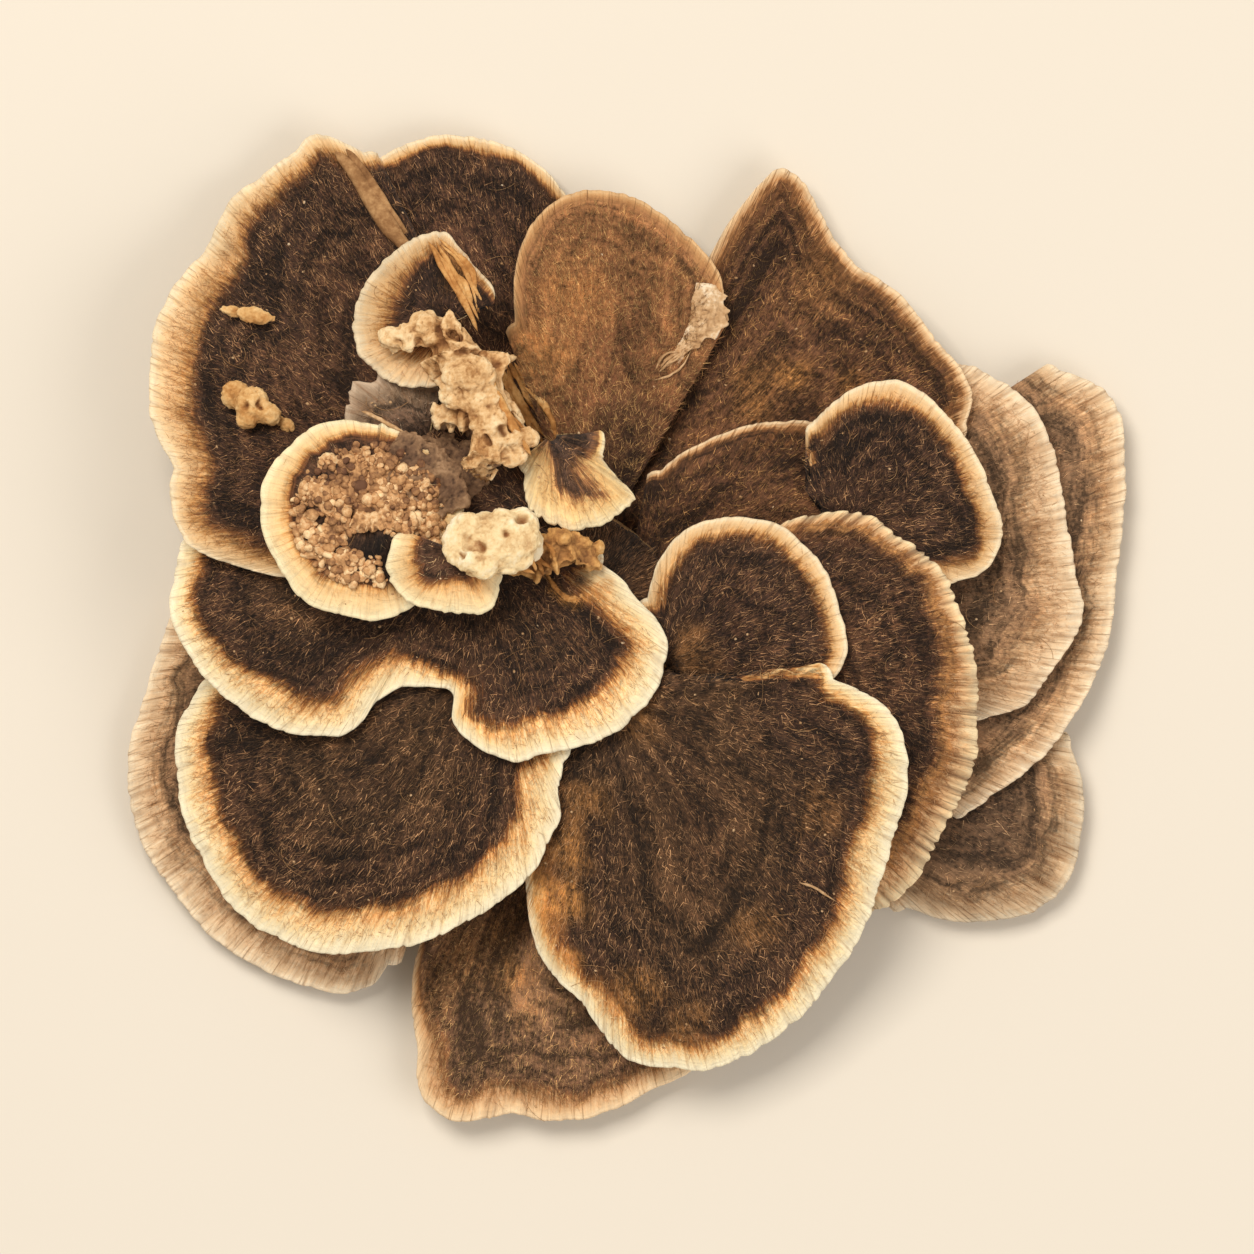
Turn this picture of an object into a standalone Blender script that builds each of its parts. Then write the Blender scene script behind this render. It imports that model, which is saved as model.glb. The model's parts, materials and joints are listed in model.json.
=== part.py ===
"""One dried turkey tail rosette: thin brackets that overlap round a shared base, cut off flat.

Lengths are in millimetres until a mesh is made. The origin is the middle of the cut face, +Z
points out of the rosette, towards the brackets' hairy upper faces, and +Y is the side of the
narrow bracket that stands alone between the left one and the pointed one.
"""

import math
from dataclasses import dataclass

import bmesh
import bpy
import numpy as np
from mathutils import Vector, noise

MM = 0.001

# The base: a broad foot, and a stem that the lower brackets grow from
FOOT_RADIUS = 13.0
FOOT_HEIGHT = 1.6
STEM_RADIUS = 9.0
STEM_SIDES = 24
DENT_DEPTH = 0.12

# The brackets: how thick they are, and how far their margin is blunt
RIM_THICKNESS = 0.7
ROOT_THICKNESS = 1.5
NOSE_LENGTH = 0.25
SIDE_TAPER = math.radians(14)

# How the brackets lie over one another: with a gap between them, no steeper than a slope that
# they ease into over a radius, and over cells of a plan grid, which they spill over a little
CLEARANCE = 0.55
ROOT_GAP = 0.35
DRAPE_SLOPE = 0.45
DRAPE_ROUNDING = 8.0
SMALL_ROUNDING = 3.0
SPILL = 0.4
PLAN_HALF_WIDTH = 50.0
PLAN_STEP = 0.5
PLAN_X, PLAN_Y = np.meshgrid(
    np.arange(-PLAN_HALF_WIDTH, PLAN_HALF_WIDTH, PLAN_STEP),
    np.arange(-PLAN_HALF_WIDTH, PLAN_HALF_WIDTH, PLAN_STEP),
)


@dataclass
class Bracket:
    """A thin fan that spreads from its growth point to its margin.

    growth is where its fibres spring from. margin is the growing edge as points (x, y), taken
    anticlockwise, all the way round where it is closed. rise is how far the margin stands above
    the growth point, and wave how far it goes up and down, waves times in a full turn. bending
    is the radius over which it eases off what lifts it, and crust the height of the lumps in
    its middle. A bracket that isn't on the stem's side starts root_reach from its growth point.
    """

    name: str
    growth: tuple
    margin: tuple
    finish: str = "dark"
    least_level: float = 4.0
    rise: float = 0.0
    wave: float = 0.3
    waves: int = 5
    root_thickness: float = ROOT_THICKNESS
    bending: float = DRAPE_ROUNDING
    rays: int = 22
    rings: int = 4
    on_stem: bool = True
    root_reach: float = 2.0
    closed: bool = False
    crust: float = 0.0


@dataclass
class Fan:
    """A bracket's vertices: rows are rays from its growth point, columns are rings."""

    angles: np.ndarray
    reaches: np.ndarray
    starts: np.ndarray
    x: np.ndarray
    y: np.ndarray
    top: np.ndarray
    low: np.ndarray


@dataclass
class Knobs:
    """A crust of lumps grown together. Each blob is (x, y, radius)."""

    name: str
    blobs: tuple
    finish: str
    flatness: float = 0.7
    grain: float = 1.0


# The brackets on the stem's side, from the lowest up
SIDE_BRACKETS = (
    Bracket(
        name="cap_rear_low",
        growth=(7, -5),
        margin=((27.5, -24.5), (31, -25.5), (35, -25.5), (38.5, -24.5), (41, -22), (42, -18.5),
                (42, -15), (41, -11)),
        finish="tan",
        rise=-1.5,
        rays=11,
        rings=3,
    ),
    Bracket(
        name="cap_rear_right",
        growth=(7.5, -1),
        margin=((32.5, -16.5), (36, -14), (39, -11.5), (41.5, -8), (43, -5.5), (44.5, -1.5),
                (45, 3.5), (45.5, 9), (45.5, 13), (45, 16.5), (43, 19), (40, 20)),
        finish="tan",
        rise=-1.0,
        waves=4,
        rays=20,
        rings=3,
    ),
    Bracket(
        name="cap_rear_top",
        growth=(-1, 5),
        margin=((0, 33), (-2, 36), (-5.5, 38.5), (-9.5, 39.5), (-13.5, 39), (-17, 37),
                (-19.5, 33.5)),
        finish="dark",
        rise=-1.5,
        rays=11,
        rings=3,
    ),
    Bracket(
        name="cap_rear_left",
        growth=(-7.5, -3),
        margin=((-33, 1), (-34.5, -3), (-36, -8), (-37, -12.5), (-36.5, -17), (-34.5, -21.5),
                (-31.5, -25.5), (-28, -28.5), (-23.5, -30.5), (-19, -31.5), (-17, -31),
                (-15.5, -29)),
        finish="tan",
        rise=-1.5,
        rays=20,
        rings=3,
    ),
    Bracket(
        name="cap_bottom",
        growth=(-1, -8.5),
        margin=((-10, -20), (-13, -28), (-13.5, -32.5), (-13, -37), (-13, -39.5), (-11, -41.5),
                (-9, -42), (-5, -41.5), (-2, -42), (2, -41.5), (4.5, -40.5), (7.5, -39),
                (10, -37.5), (11.5, -35)),
        finish="brown",
        rise=-1.0,
        rays=20,
        rings=3,
    ),
    Bracket(
        name="cap_right",
        growth=(7.5, 0),
        margin=((30.5, -9.5), (36, -8), (38, -6.5), (40, -4), (42, -0.5), (41.5, 2.5), (41, 6),
                (40.5, 9.5), (39.5, 13.5), (38, 16.5), (36, 18.5), (33.5, 20), (31, 20.5)),
        finish="tan",
        rays=20,
        rings=3,
    ),
    Bracket(
        name="cap_top_right",
        growth=(1, 2),
        margin=((32, 15.5), (32.5, 18), (31, 21), (28.5, 24), (26, 27), (23, 29), (20.5, 32.5),
                (19, 35.5), (17.5, 36.5), (16.5, 36.5), (14.5, 34.5), (12.5, 32), (10.5, 28.5),
                (8, 25)),
        finish="brown",
        rise=-1.0,
        rays=20,
        rings=3,
    ),
    Bracket(
        name="cap_top",
        growth=(1.5, 6.5),
        margin=((12, 25), (12, 27.5), (9.5, 31), (6, 33.5), (2.5, 35), (-1.5, 34), (-4, 31.5),
                (-5, 28), (-5, 24)),
        finish="buff",
        rays=18,
    ),
    Bracket(
        name="cap_wing",
        growth=(5, 1),
        margin=((25.5, 6), (26.5, 9.5), (26, 12.5), (23, 14.5), (20, 15.5), (16.5, 15.5),
                (13.5, 15), (11, 14), (9, 13), (7, 11.5)),
        finish="brown",
        rays=16,
        rings=3,
    ),
    Bracket(
        name="cap_upper_right",
        growth=(21.5, 6.5),
        margin=((25.5, 2), (28, 2), (30.5, 2.5), (33, 3), (34.5, 5), (35, 7.5), (34, 10.5),
                (32.5, 13.5), (31, 15.5), (28.5, 18), (26, 19), (23.5, 18.5), (21.5, 17.5),
                (19.5, 15.5)),
        rise=0.6,
        bending=SMALL_ROUNDING,
        rays=18,
        rings=3,
    ),
    Bracket(
        name="cap_crescent",
        growth=(7, -5),
        margin=((23, -25), (25.5, -24.5), (27.5, -23), (29, -20.5), (30.5, -17.5), (32, -15),
                (33, -12), (33, -9), (33, -5), (32.5, -2.5), (31.5, 0), (30.5, 2.5), (28.5, 5),
                (26, 6.5), (23.5, 8), (20.5, 8), (18, 7.5), (16, 6.5)),
        finish="ribbed",
        rays=24,
    ),
)

# The brackets over the stem's top, and those that grow on another bracket, from the lowest up
CROWN_BRACKETS = (
    Bracket(
        name="cap_round",
        growth=(7, -4.5),
        margin=((20.5, -6), (22, -4), (22, -2), (21.5, 0.5), (20.5, 3.5), (18.5, 5.5),
                (16.5, 7), (13.5, 7.5), (11.5, 7.5), (9.5, 7), (7.5, 5), (6.5, 3), (6, 1)),
        on_stem=False,
        rays=18,
        rings=3,
    ),
    Bracket(
        name="cap_front",
        growth=(2.5, -6.5),
        margin=((-4, -20), (-4, -22.5), (-3.5, -26), (-2, -29.5), (0.5, -32), (2.5, -35),
                (4.5, -37), (7.5, -37.5), (11.5, -37.5), (15, -36), (18, -34), (20.5, -31),
                (23, -27.5), (24.5, -23.5), (26, -18.5), (27, -14.5), (27, -11), (25.5, -8),
                (23.5, -6.5), (21, -5.5)),
        on_stem=False,
        rays=26,
    ),
    Bracket(
        name="cap_lower_left",
        growth=(-6.5, -4),
        margin=((-29, -3), (-31, -6.5), (-32.5, -9), (-33, -12), (-32.5, -15.5), (-31.5, -19),
                (-29.5, -22.5), (-27, -25.5), (-23.5, -27), (-20, -28), (-16.5, -27.5),
                (-12.5, -27), (-9.5, -25.5), (-6, -23.5), (-3.5, -21), (-2, -18), (-1, -15.5),
                (-1.5, -14), (-1, -12)),
        on_stem=False,
        rays=26,
    ),
    Bracket(
        name="cap_lobed",
        growth=(-8, 8),
        margin=((-32.5, 5), (-33, 2), (-33, -0.5), (-31.5, -3.5), (-29.5, -6), (-27, -8),
                (-24, -9.5), (-21.5, -10), (-19, -10), (-17.5, -9), (-16, -7), (-14, -6),
                (-11.5, -6), (-10, -6.5), (-10, -8.5), (-9, -10), (-6.5, -11.5), (-4.5, -12),
                (-2, -11), (0, -11), (2.5, -10), (5, -8), (6.5, -6), (7.5, -3), (7, -1),
                (5.5, 0.5), (4, 2.5), (2, 4)),
        on_stem=False,
        rays=32,
    ),
    Bracket(
        name="cap_left",
        growth=(-3, 8),
        margin=((-17.5, 38), (-19.5, 39), (-21.5, 39.5), (-23.5, 38), (-26, 36), (-28.5, 34),
                (-30.5, 30), (-33, 27), (-34.5, 23.5), (-35, 19), (-34.5, 15), (-33, 12),
                (-33, 9), (-31.5, 5.5), (-28, 4), (-24.5, 3), (-19, 2.5)),
        on_stem=False,
        rise=-2.0,
        rays=26,
    ),
    Bracket(
        name="cap_flap",
        growth=(-12, 14),
        margin=((-13, 19), (-15, 19.5), (-17, 19), (-18, 17.5), (-17.5, 16)),
        finish="buff",
        on_stem=False,
        root_thickness=1.2,
        bending=SMALL_ROUNDING,
        rays=8,
        rings=2,
    ),
    Bracket(
        name="cap_small_fan",
        growth=(-2, 14.5),
        margin=((-4, 11.5), (-4, 9.5), (-3, 8), (-0.5, 7), (2.5, 7.5), (4, 8.5), (5, 9.5),
                (3.5, 11), (2, 13)),
        finish="pale",
        on_stem=False,
        bending=SMALL_ROUNDING,
        rays=14,
        rings=3,
    ),
    Bracket(
        name="cap_saucer",
        growth=(-16.5, 8.5),
        margin=((-9, 9), (-10, 12), (-12, 13.5), (-15, 15), (-18, 15.5), (-21, 15),
                (-23.5, 13), (-25, 11), (-25.5, 8.5), (-25, 5.5), (-23.5, 3), (-22, 1),
                (-19, 0), (-16.5, -0.5), (-13.5, 0.5), (-12, 2.5), (-10.5, 5)),
        finish="pale",
        on_stem=False,
        root_reach=1.2,
        closed=True,
        rise=1.2,
        root_thickness=2.6,
        crust=1.0,
        bending=SMALL_ROUNDING,
        rays=20,
        rings=5,
    ),
    Bracket(
        name="cap_scalloped",
        growth=(-9.5, 5),
        margin=((-15, 5.5), (-15, 4), (-14.5, 2.5), (-13, 1), (-11, 0), (-9, 0), (-7, 1),
                (-6.5, 2.5)),
        finish="pale",
        on_stem=False,
        bending=SMALL_ROUNDING,
        rays=12,
        rings=3,
    ),
    Bracket(
        name="cap_small_top",
        growth=(-10.5, 23.5),
        margin=((-7.5, 27), (-9, 29), (-10.5, 31), (-12.5, 31), (-14.5, 29.5), (-16.5, 27.5),
                (-17.5, 25.5), (-18, 23), (-17.5, 21), (-16, 19.5), (-14.5, 18.5),
                (-12, 18.5), (-10.5, 19)),
        finish="pale",
        on_stem=False,
        rise=1.2,
        bending=SMALL_ROUNDING,
        rays=16,
        rings=3,
    ),
)

CRUSTS = (
    Knobs(
        name="root_tissue",
        blobs=((-1.4, 6, 1.7), (0.2, 4.6, 1.6), (-2.2, 4, 1.6)),
        finish="brown",
    ),
    Knobs(
        name="crust_ridge",
        blobs=((-14.5, 22, 1.7), (-12, 23.2, 1.9), (-9.8, 22.8, 1.6), (-9.5, 20, 2.3),
               (-8, 17.8, 2.5), (-7, 15.2, 2.4), (-5, 13.6, 2.1), (-8.6, 12, 1.4)),
        finish="crust",
        grain=1.15,
    ),
    Knobs(
        name="crust_knob",
        blobs=((-9.2, 5.6, 2), (-7.2, 6.8, 2.1), (-5, 7, 1.9), (-5.4, 5, 2), (-8, 4, 1.8)),
        finish="crust",
    ),
    Knobs(
        name="crumb_round",
        blobs=((-27.6, 17.6, 1.3), (-26, 16.6, 1.6), (-24.5, 16.2, 1.1)),
        finish="crust",
        grain=0.95,
    ),
    Knobs(
        name="crumb_sliver",
        blobs=((-28.4, 24.9, 0.8), (-26.8, 24.5, 1.1), (-25, 24.1, 1.0)),
        finish="buff",
        grain=0.75,
    ),
)


def margin_points(bracket, count):
    """count + 1 points an equal way apart along a smooth curve through the margin's points."""
    given = [np.array(point, float) for point in bracket.margin]
    if bracket.closed:
        knots = [given[-1], *given, given[0], given[1]]
    else:
        knots = [2 * given[0] - given[1], *given, 2 * given[-1] - given[-2]]
    steps = 12
    curve = []
    for before, here, there, after in zip(knots, knots[1:], knots[2:], knots[3:]):
        for step in range(steps):
            t = step / steps
            curve.append(0.5 * (2 * here + (there - before) * t
                                + (2 * before - 5 * here + 4 * there - after) * t ** 2
                                + (3 * here - before - 3 * there + after) * t ** 3))
    curve.append(knots[-2])
    curve = np.array(curve)
    along = np.concatenate(([0], np.cumsum(np.linalg.norm(np.diff(curve, axis=0), axis=1))))
    wanted = np.linspace(0, along[-1], count + 1)
    return np.column_stack([np.interp(wanted, along, curve[:, axis]) for axis in (0, 1)])


def margin_polar(bracket, count):
    """The margin's angles and reaches, seen from the growth point."""
    offsets = margin_points(bracket, count) - np.array(bracket.growth, float)
    angles = np.unwrap(np.arctan2(offsets[:, 1], offsets[:, 0]))
    return angles, np.linalg.norm(offsets, axis=1)


def crust_height(bracket, x, y, share):
    """The lumps in the middle of a saucer, which fade out towards its margin."""
    if not bracket.crust:
        return np.zeros_like(share)
    lump_width = 1.6
    fade_start, fade_end = 0.46, 0.66
    fade = np.clip((fade_end - share) / (fade_end - fade_start), 0, 1)
    lumps = [noise.cell_vector(Vector((float(a), float(b), 0)) / lump_width).x
             for a, b in zip(np.ravel(x), np.ravel(y))]
    return bracket.crust * fade * (0.4 + 0.6 * np.reshape(lumps, np.shape(share)))


def upper_face(bracket, angle, share):
    """The upper face's height above the growth point, share being 1 at the margin."""
    phase = 2.0 * bracket.growth[0]
    waved = bracket.wave * share ** 2 * np.sin(bracket.waves * angle + phase)
    return bracket.rise * share ** 1.4 + waved


def thickness(bracket, angle, share, first, last):
    """The bracket's thickness, least at its margin and its two sides."""
    side = 1.0
    if not bracket.closed:
        side = np.clip(np.minimum(angle - first, last - angle) / SIDE_TAPER, 0, 1) ** 0.7
    inner = np.clip(1 - share, 0, 1) ** 0.8
    return RIM_THICKNESS + (bracket.root_thickness - RIM_THICKNESS) * inner * side


def root_reaches(bracket, angles):
    """How far from the growth point each ray starts: at the stem's side, or near the point."""
    if not bracket.on_stem:
        return np.full(angles.shape, bracket.root_reach)
    gx, gy = bracket.growth
    along = gx * np.cos(angles) + gy * np.sin(angles)
    inside = along ** 2 - (gx ** 2 + gy ** 2 - (STEM_RADIUS + ROOT_GAP) ** 2)
    return np.maximum(np.sqrt(np.clip(inside, 0, None)) - along, bracket.root_reach)


def ring_steps(bracket):
    """The rings' places between root and margin, closer together towards the margin."""
    return 1 - (1 - np.linspace(0, 1, bracket.rings + 1)) ** 1.25


def fan_of(bracket):
    """The bracket's vertices before it is draped over what lies below it."""
    angles, reaches = margin_polar(bracket, bracket.rays)
    starts = np.minimum(root_reaches(bracket, angles), 0.9 * reaches)
    way = starts[:, None] + (reaches - starts)[:, None] * ring_steps(bracket)
    share = way / reaches[:, None]
    angle = np.broadcast_to(angles[:, None], way.shape)
    x = bracket.growth[0] + way * np.cos(angle)
    y = bracket.growth[1] + way * np.sin(angle)
    top = upper_face(bracket, angle, share)
    low = top - thickness(bracket, angle, share, angles[0], angles[-1])
    return Fan(angles, reaches, starts, x, y, top + crust_height(bracket, x, y, share), low)


def cells_covered(bracket, fan):
    """Which plan cells the fan covers, and where they lie in its grid of rays and rings."""
    dx, dy = PLAN_X - bracket.growth[0], PLAN_Y - bracket.growth[1]
    reach = np.hypot(dx, dy)
    middle = 0.5 * (fan.angles[0] + fan.angles[-1])
    angle = middle + np.mod(np.arctan2(dy, dx) - middle + math.pi, 2 * math.pi) - math.pi
    start = np.interp(angle, fan.angles, fan.starts)
    end = np.interp(angle, fan.angles, fan.reaches)
    beside = np.clip(np.abs(angle - middle) - 0.5 * (fan.angles[-1] - fan.angles[0]), 0, None)
    covered = (reach > start - SPILL) & (reach < end + NOSE_LENGTH + SPILL)
    covered &= beside * reach < SPILL
    rays = np.interp(angle, fan.angles, np.arange(len(fan.angles)))
    rings = np.interp((reach - start) / (end - start), ring_steps(bracket),
                      np.arange(bracket.rings + 1))
    return covered, rays[covered], rings[covered]


def corners(values, rays, rings):
    """The four vertices round each place in the grid, with their weights."""
    i = np.minimum(rays.astype(int), values.shape[0] - 2)
    k = np.minimum(rings.astype(int), values.shape[1] - 2)
    a, b = rays - i, rings - k
    return (((i, k), (1 - a) * (1 - b)), ((i + 1, k), a * (1 - b)),
            ((i, k + 1), (1 - a) * b), ((i + 1, k + 1), a * b))


def sampled(values, rays, rings):
    """The vertices' values read off at places in the grid."""
    return sum(values[place] * weight for place, weight in corners(values, rays, rings))


def drape(bracket, fan, ceiling):
    """Lift the fan clear of all that lies below it. The lift eases off away from there."""
    covered, rays, rings = cells_covered(bracket, fan)
    short = ceiling[covered] + CLEARANCE - sampled(fan.low, rays, rings)
    need = np.full(fan.top.shape, bracket.least_level)
    for place, _ in corners(need, rays, rings):
        np.maximum.at(need, place, short)
    places = np.column_stack([fan.x.ravel(), fan.y.ravel()])
    apart = np.linalg.norm(places[:, None] - places[None], axis=2)
    eased = DRAPE_SLOPE * (np.hypot(apart, bracket.bending) - bracket.bending)
    lift = np.max(need.ravel() - eased, axis=1).reshape(need.shape)
    fan.top += lift
    fan.low += lift
    ceiling[covered] = np.maximum(ceiling[covered], sampled(fan.top, rays, rings))


def stem_height(ceiling):
    """The stem ends level with the topmost roots on its side."""
    from_axis = np.hypot(PLAN_X, PLAN_Y)
    at_roots = (from_axis > STEM_RADIUS + ROOT_GAP) & (from_axis < STEM_RADIUS + 2)
    return float(np.max(ceiling[at_roots]))


def settle(knobs, ceiling):
    """The height of each blob's middle, clear of all below it and near its neighbours'."""
    spots = np.array(knobs.blobs)[:, :2]
    halves = []
    for x, y, radius in knobs.blobs:
        room = (radius + SPILL) ** 2 - (PLAN_X - x) ** 2 - (PLAN_Y - y) ** 2
        half = knobs.flatness * np.sqrt(np.clip(room, 0, None))
        halves.append(np.where(room > 0, half, -np.inf))
    clear = np.array([np.max(ceiling + half) for half in halves])
    apart = np.linalg.norm(spots[:, None] - spots[None], axis=2)
    heights = np.max(clear - DRAPE_SLOPE * apart, axis=1)
    for half, height in zip(halves, heights):
        np.maximum(ceiling, height + half, out=ceiling)
    return heights


def finish_material(finish):
    """One plain material for each finish, shared by the pieces that have it."""
    looks = {
        "dark": ((0.075, 0.043, 0.030), 0.92),
        "ribbed": ((0.090, 0.050, 0.032), 0.92),
        "brown": ((0.130, 0.070, 0.040), 0.92),
        "tan": ((0.330, 0.200, 0.110), 0.90),
        "buff": ((0.270, 0.160, 0.080), 0.90),
        "pale": ((0.600, 0.400, 0.210), 0.88),
        "crust": ((0.640, 0.450, 0.260), 0.88),
        "base": ((0.420, 0.270, 0.150), 0.90),
    }
    colour, roughness = looks[finish]
    material = bpy.data.materials.get(finish) or bpy.data.materials.new(finish)
    material.use_nodes = True
    shader = material.node_tree.nodes["Principled BSDF"]
    shader.inputs["Base Color"].default_value = (*colour, 1)
    shader.inputs["Roughness"].default_value = roughness
    shader.inputs["Metallic"].default_value = 0.0
    return material


def place(name, bm, origin, finish, parent):
    """The finished mesh as an object, with its origin at the given point in millimetres."""
    bmesh.ops.recalc_face_normals(bm, faces=bm.faces)
    bmesh.ops.scale(bm, vec=(MM, MM, MM), verts=bm.verts)
    mesh = bpy.data.meshes.new(name)
    bm.to_mesh(mesh)
    bm.free()
    mesh.shade_smooth()
    mesh.set_sharp_from_angle(angle=math.radians(50))
    mesh.materials.append(finish_material(finish))
    thing = bpy.data.objects.new(name, mesh)
    thing.location = Vector(origin) * MM
    thing.parent = parent
    bpy.context.scene.collection.objects.link(thing)
    return thing


def build_bracket(bracket, fan, parent):
    """A closed fan: two skins of quads, a blunt margin, and walls at its sides and root."""
    count = bracket.rays if bracket.closed else bracket.rays + 1
    level = float(fan.low[count // 2, 0])
    origin = (*bracket.growth, level)
    bm = bmesh.new()

    def skin(heights):
        return [[bm.verts.new(Vector(spot) - Vector(origin)) for spot in zip(*ray)]
                for ray in zip(fan.x[:count], fan.y[:count], heights[:count])]

    upper, lower = skin(fan.top), skin(fan.low)
    nose = []
    for ray, angle in enumerate(fan.angles[:count]):
        middle = 0.5 * (upper[ray][-1].co + lower[ray][-1].co)
        outward = Vector((math.cos(angle), math.sin(angle), 0))
        nose.append(bm.verts.new(middle + NOSE_LENGTH * outward))
    for i in range(bracket.rays):
        j = (i + 1) % count
        for ring in range(bracket.rings):
            bm.faces.new((upper[i][ring], upper[i][ring + 1], upper[j][ring + 1], upper[j][ring]))
            bm.faces.new((lower[i][ring], lower[j][ring], lower[j][ring + 1], lower[i][ring + 1]))
        bm.faces.new((upper[i][-1], nose[i], nose[j], upper[j][-1]))
        bm.faces.new((nose[i], lower[i][-1], lower[j][-1], nose[j]))
        if not bracket.closed:
            bm.faces.new((upper[i][0], upper[j][0], lower[j][0], lower[i][0]))
    if bracket.closed:
        bm.faces.new([ray[0] for ray in upper])
        bm.faces.new([ray[0] for ray in reversed(lower)])
    else:
        for end in (0, -1):
            for ring in range(bracket.rings):
                bm.faces.new((upper[end][ring], lower[end][ring], lower[end][ring + 1],
                              upper[end][ring + 1]))
            bm.faces.new((upper[end][-1], lower[end][-1], nose[end]))
    return place(bracket.name, bm, origin, bracket.finish, parent)


def build_stem(height, parent):
    """The shared base: a foot that is cut off flat, and a lumpy stem with a low domed top."""
    profile = ((0, FOOT_RADIUS), (0.7, FOOT_RADIUS), (FOOT_HEIGHT, FOOT_RADIUS - 1.6),
               (FOOT_HEIGHT + 1.2, STEM_RADIUS), (0.45 * height, STEM_RADIUS),
               (0.7 * height, STEM_RADIUS), (height - 1.2, STEM_RADIUS - 0.1),
               (height - 0.4, STEM_RADIUS - 1.5), (height, 0.45 * STEM_RADIUS))
    bm = bmesh.new()
    rings = []
    for level, radius in profile:
        ring = []
        for side in range(STEM_SIDES):
            angle = 2 * math.pi * side / STEM_SIDES
            outward = Vector((math.cos(angle), math.sin(angle), 0))
            deepest = 2 * DENT_DEPTH if level < FOOT_HEIGHT else DENT_DEPTH
            dent = deepest * abs(noise.noise(2.2 * outward + Vector((0, 0, 0.2 * level))))
            ring.append(bm.verts.new(outward * radius * (1 - dent) + Vector((0, 0, level))))
        rings.append(ring)
    for below, above in zip(rings, rings[1:]):
        for side in range(STEM_SIDES):
            other = (side + 1) % STEM_SIDES
            bm.faces.new((below[side], below[other], above[other], above[side]))
    bm.faces.new(list(reversed(rings[0])))
    bm.faces.new(rings[-1])
    return place("base", bm, (0, 0, 0), "base", parent)


def build_knobs(knobs, heights, parent):
    """Overlapping blobs fused into one lumpy skin."""
    origin = Vector((*np.mean([blob[:2] for blob in knobs.blobs], axis=0), min(heights)))
    bm = bmesh.new()
    for (x, y, radius), height in zip(knobs.blobs, heights):
        middle = Vector((x, y, height)) - origin
        for vert in bmesh.ops.create_icosphere(bm, subdivisions=2, radius=radius)["verts"]:
            vert.co.z *= knobs.flatness
            vert.co += middle
    thing = place(knobs.name, bm, origin, knobs.finish, parent)
    fuse = thing.modifiers.new("fuse", "REMESH")
    fuse.mode = "VOXEL"
    fuse.voxel_size = knobs.grain * MM
    return thing


def main():
    for thing in list(bpy.data.objects):
        bpy.data.objects.remove(thing)
    rosette = bpy.data.objects.new("rosette", None)
    bpy.context.scene.collection.objects.link(rosette)
    ceiling = np.full(PLAN_X.shape, -np.inf)

    def grow(bracket):
        fan = fan_of(bracket)
        drape(bracket, fan, ceiling)
        build_bracket(bracket, fan, rosette)
        print(f"{bracket.name}: {fan.low.min():.1f} to {fan.top.max():.1f} mm up")

    for bracket in SIDE_BRACKETS:
        grow(bracket)
    height = stem_height(ceiling)
    build_stem(height, rosette)
    ceiling[np.hypot(PLAN_X, PLAN_Y) < STEM_RADIUS + SPILL] = height
    for bracket in CROWN_BRACKETS:
        grow(bracket)
    for knobs in CRUSTS:
        build_knobs(knobs, settle(knobs, ceiling), rosette)


main()
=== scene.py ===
import json
import math
from dataclasses import dataclass
from functools import partial

import bmesh
import bpy
import numpy as np
from mathutils import Matrix, Vector, noise
from mathutils.bvhtree import BVHTree
from mathutils.kdtree import KDTree


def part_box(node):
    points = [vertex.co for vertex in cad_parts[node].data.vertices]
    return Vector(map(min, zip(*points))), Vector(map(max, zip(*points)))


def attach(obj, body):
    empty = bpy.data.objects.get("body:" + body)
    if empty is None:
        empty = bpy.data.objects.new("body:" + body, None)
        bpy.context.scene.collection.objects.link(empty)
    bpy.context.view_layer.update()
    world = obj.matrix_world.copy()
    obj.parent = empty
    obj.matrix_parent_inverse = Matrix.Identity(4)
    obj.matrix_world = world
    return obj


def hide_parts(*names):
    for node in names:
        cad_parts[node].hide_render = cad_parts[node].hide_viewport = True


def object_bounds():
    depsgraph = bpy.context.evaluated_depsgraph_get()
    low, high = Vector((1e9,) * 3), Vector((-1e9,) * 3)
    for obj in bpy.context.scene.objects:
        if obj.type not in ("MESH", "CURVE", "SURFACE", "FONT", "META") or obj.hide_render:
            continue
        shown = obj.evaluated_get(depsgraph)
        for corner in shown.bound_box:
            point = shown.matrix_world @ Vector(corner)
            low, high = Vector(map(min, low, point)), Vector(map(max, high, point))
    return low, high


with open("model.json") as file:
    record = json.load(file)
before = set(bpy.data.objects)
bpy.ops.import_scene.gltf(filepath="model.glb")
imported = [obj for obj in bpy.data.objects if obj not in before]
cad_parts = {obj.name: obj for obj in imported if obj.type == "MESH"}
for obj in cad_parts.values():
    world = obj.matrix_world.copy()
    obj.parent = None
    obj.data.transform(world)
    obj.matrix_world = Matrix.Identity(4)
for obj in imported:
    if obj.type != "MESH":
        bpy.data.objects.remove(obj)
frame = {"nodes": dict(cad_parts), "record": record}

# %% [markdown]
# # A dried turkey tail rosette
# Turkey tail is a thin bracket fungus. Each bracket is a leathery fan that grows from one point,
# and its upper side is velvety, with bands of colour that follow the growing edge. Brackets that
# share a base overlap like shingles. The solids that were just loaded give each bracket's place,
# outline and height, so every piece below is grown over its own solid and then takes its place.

MM = 0.001
cad_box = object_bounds()
print("solids:", len(frame["nodes"]), "box in mm:",
      [round(side / MM, 1) for side in cad_box[1] - cad_box[0]])

# %% [markdown]
# ## Small helpers
# Colours are easiest to pick as the hex values of a picture editor, which are sRGB, while a
# shader wants linear light, so one function turns them. Another adds a node to a tree, sets its
# own settings, and fills its sockets with values or with links. The rest spare the same few lines
# again and again: for a new material, for an object, and for values kept at each point of a mesh.

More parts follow.
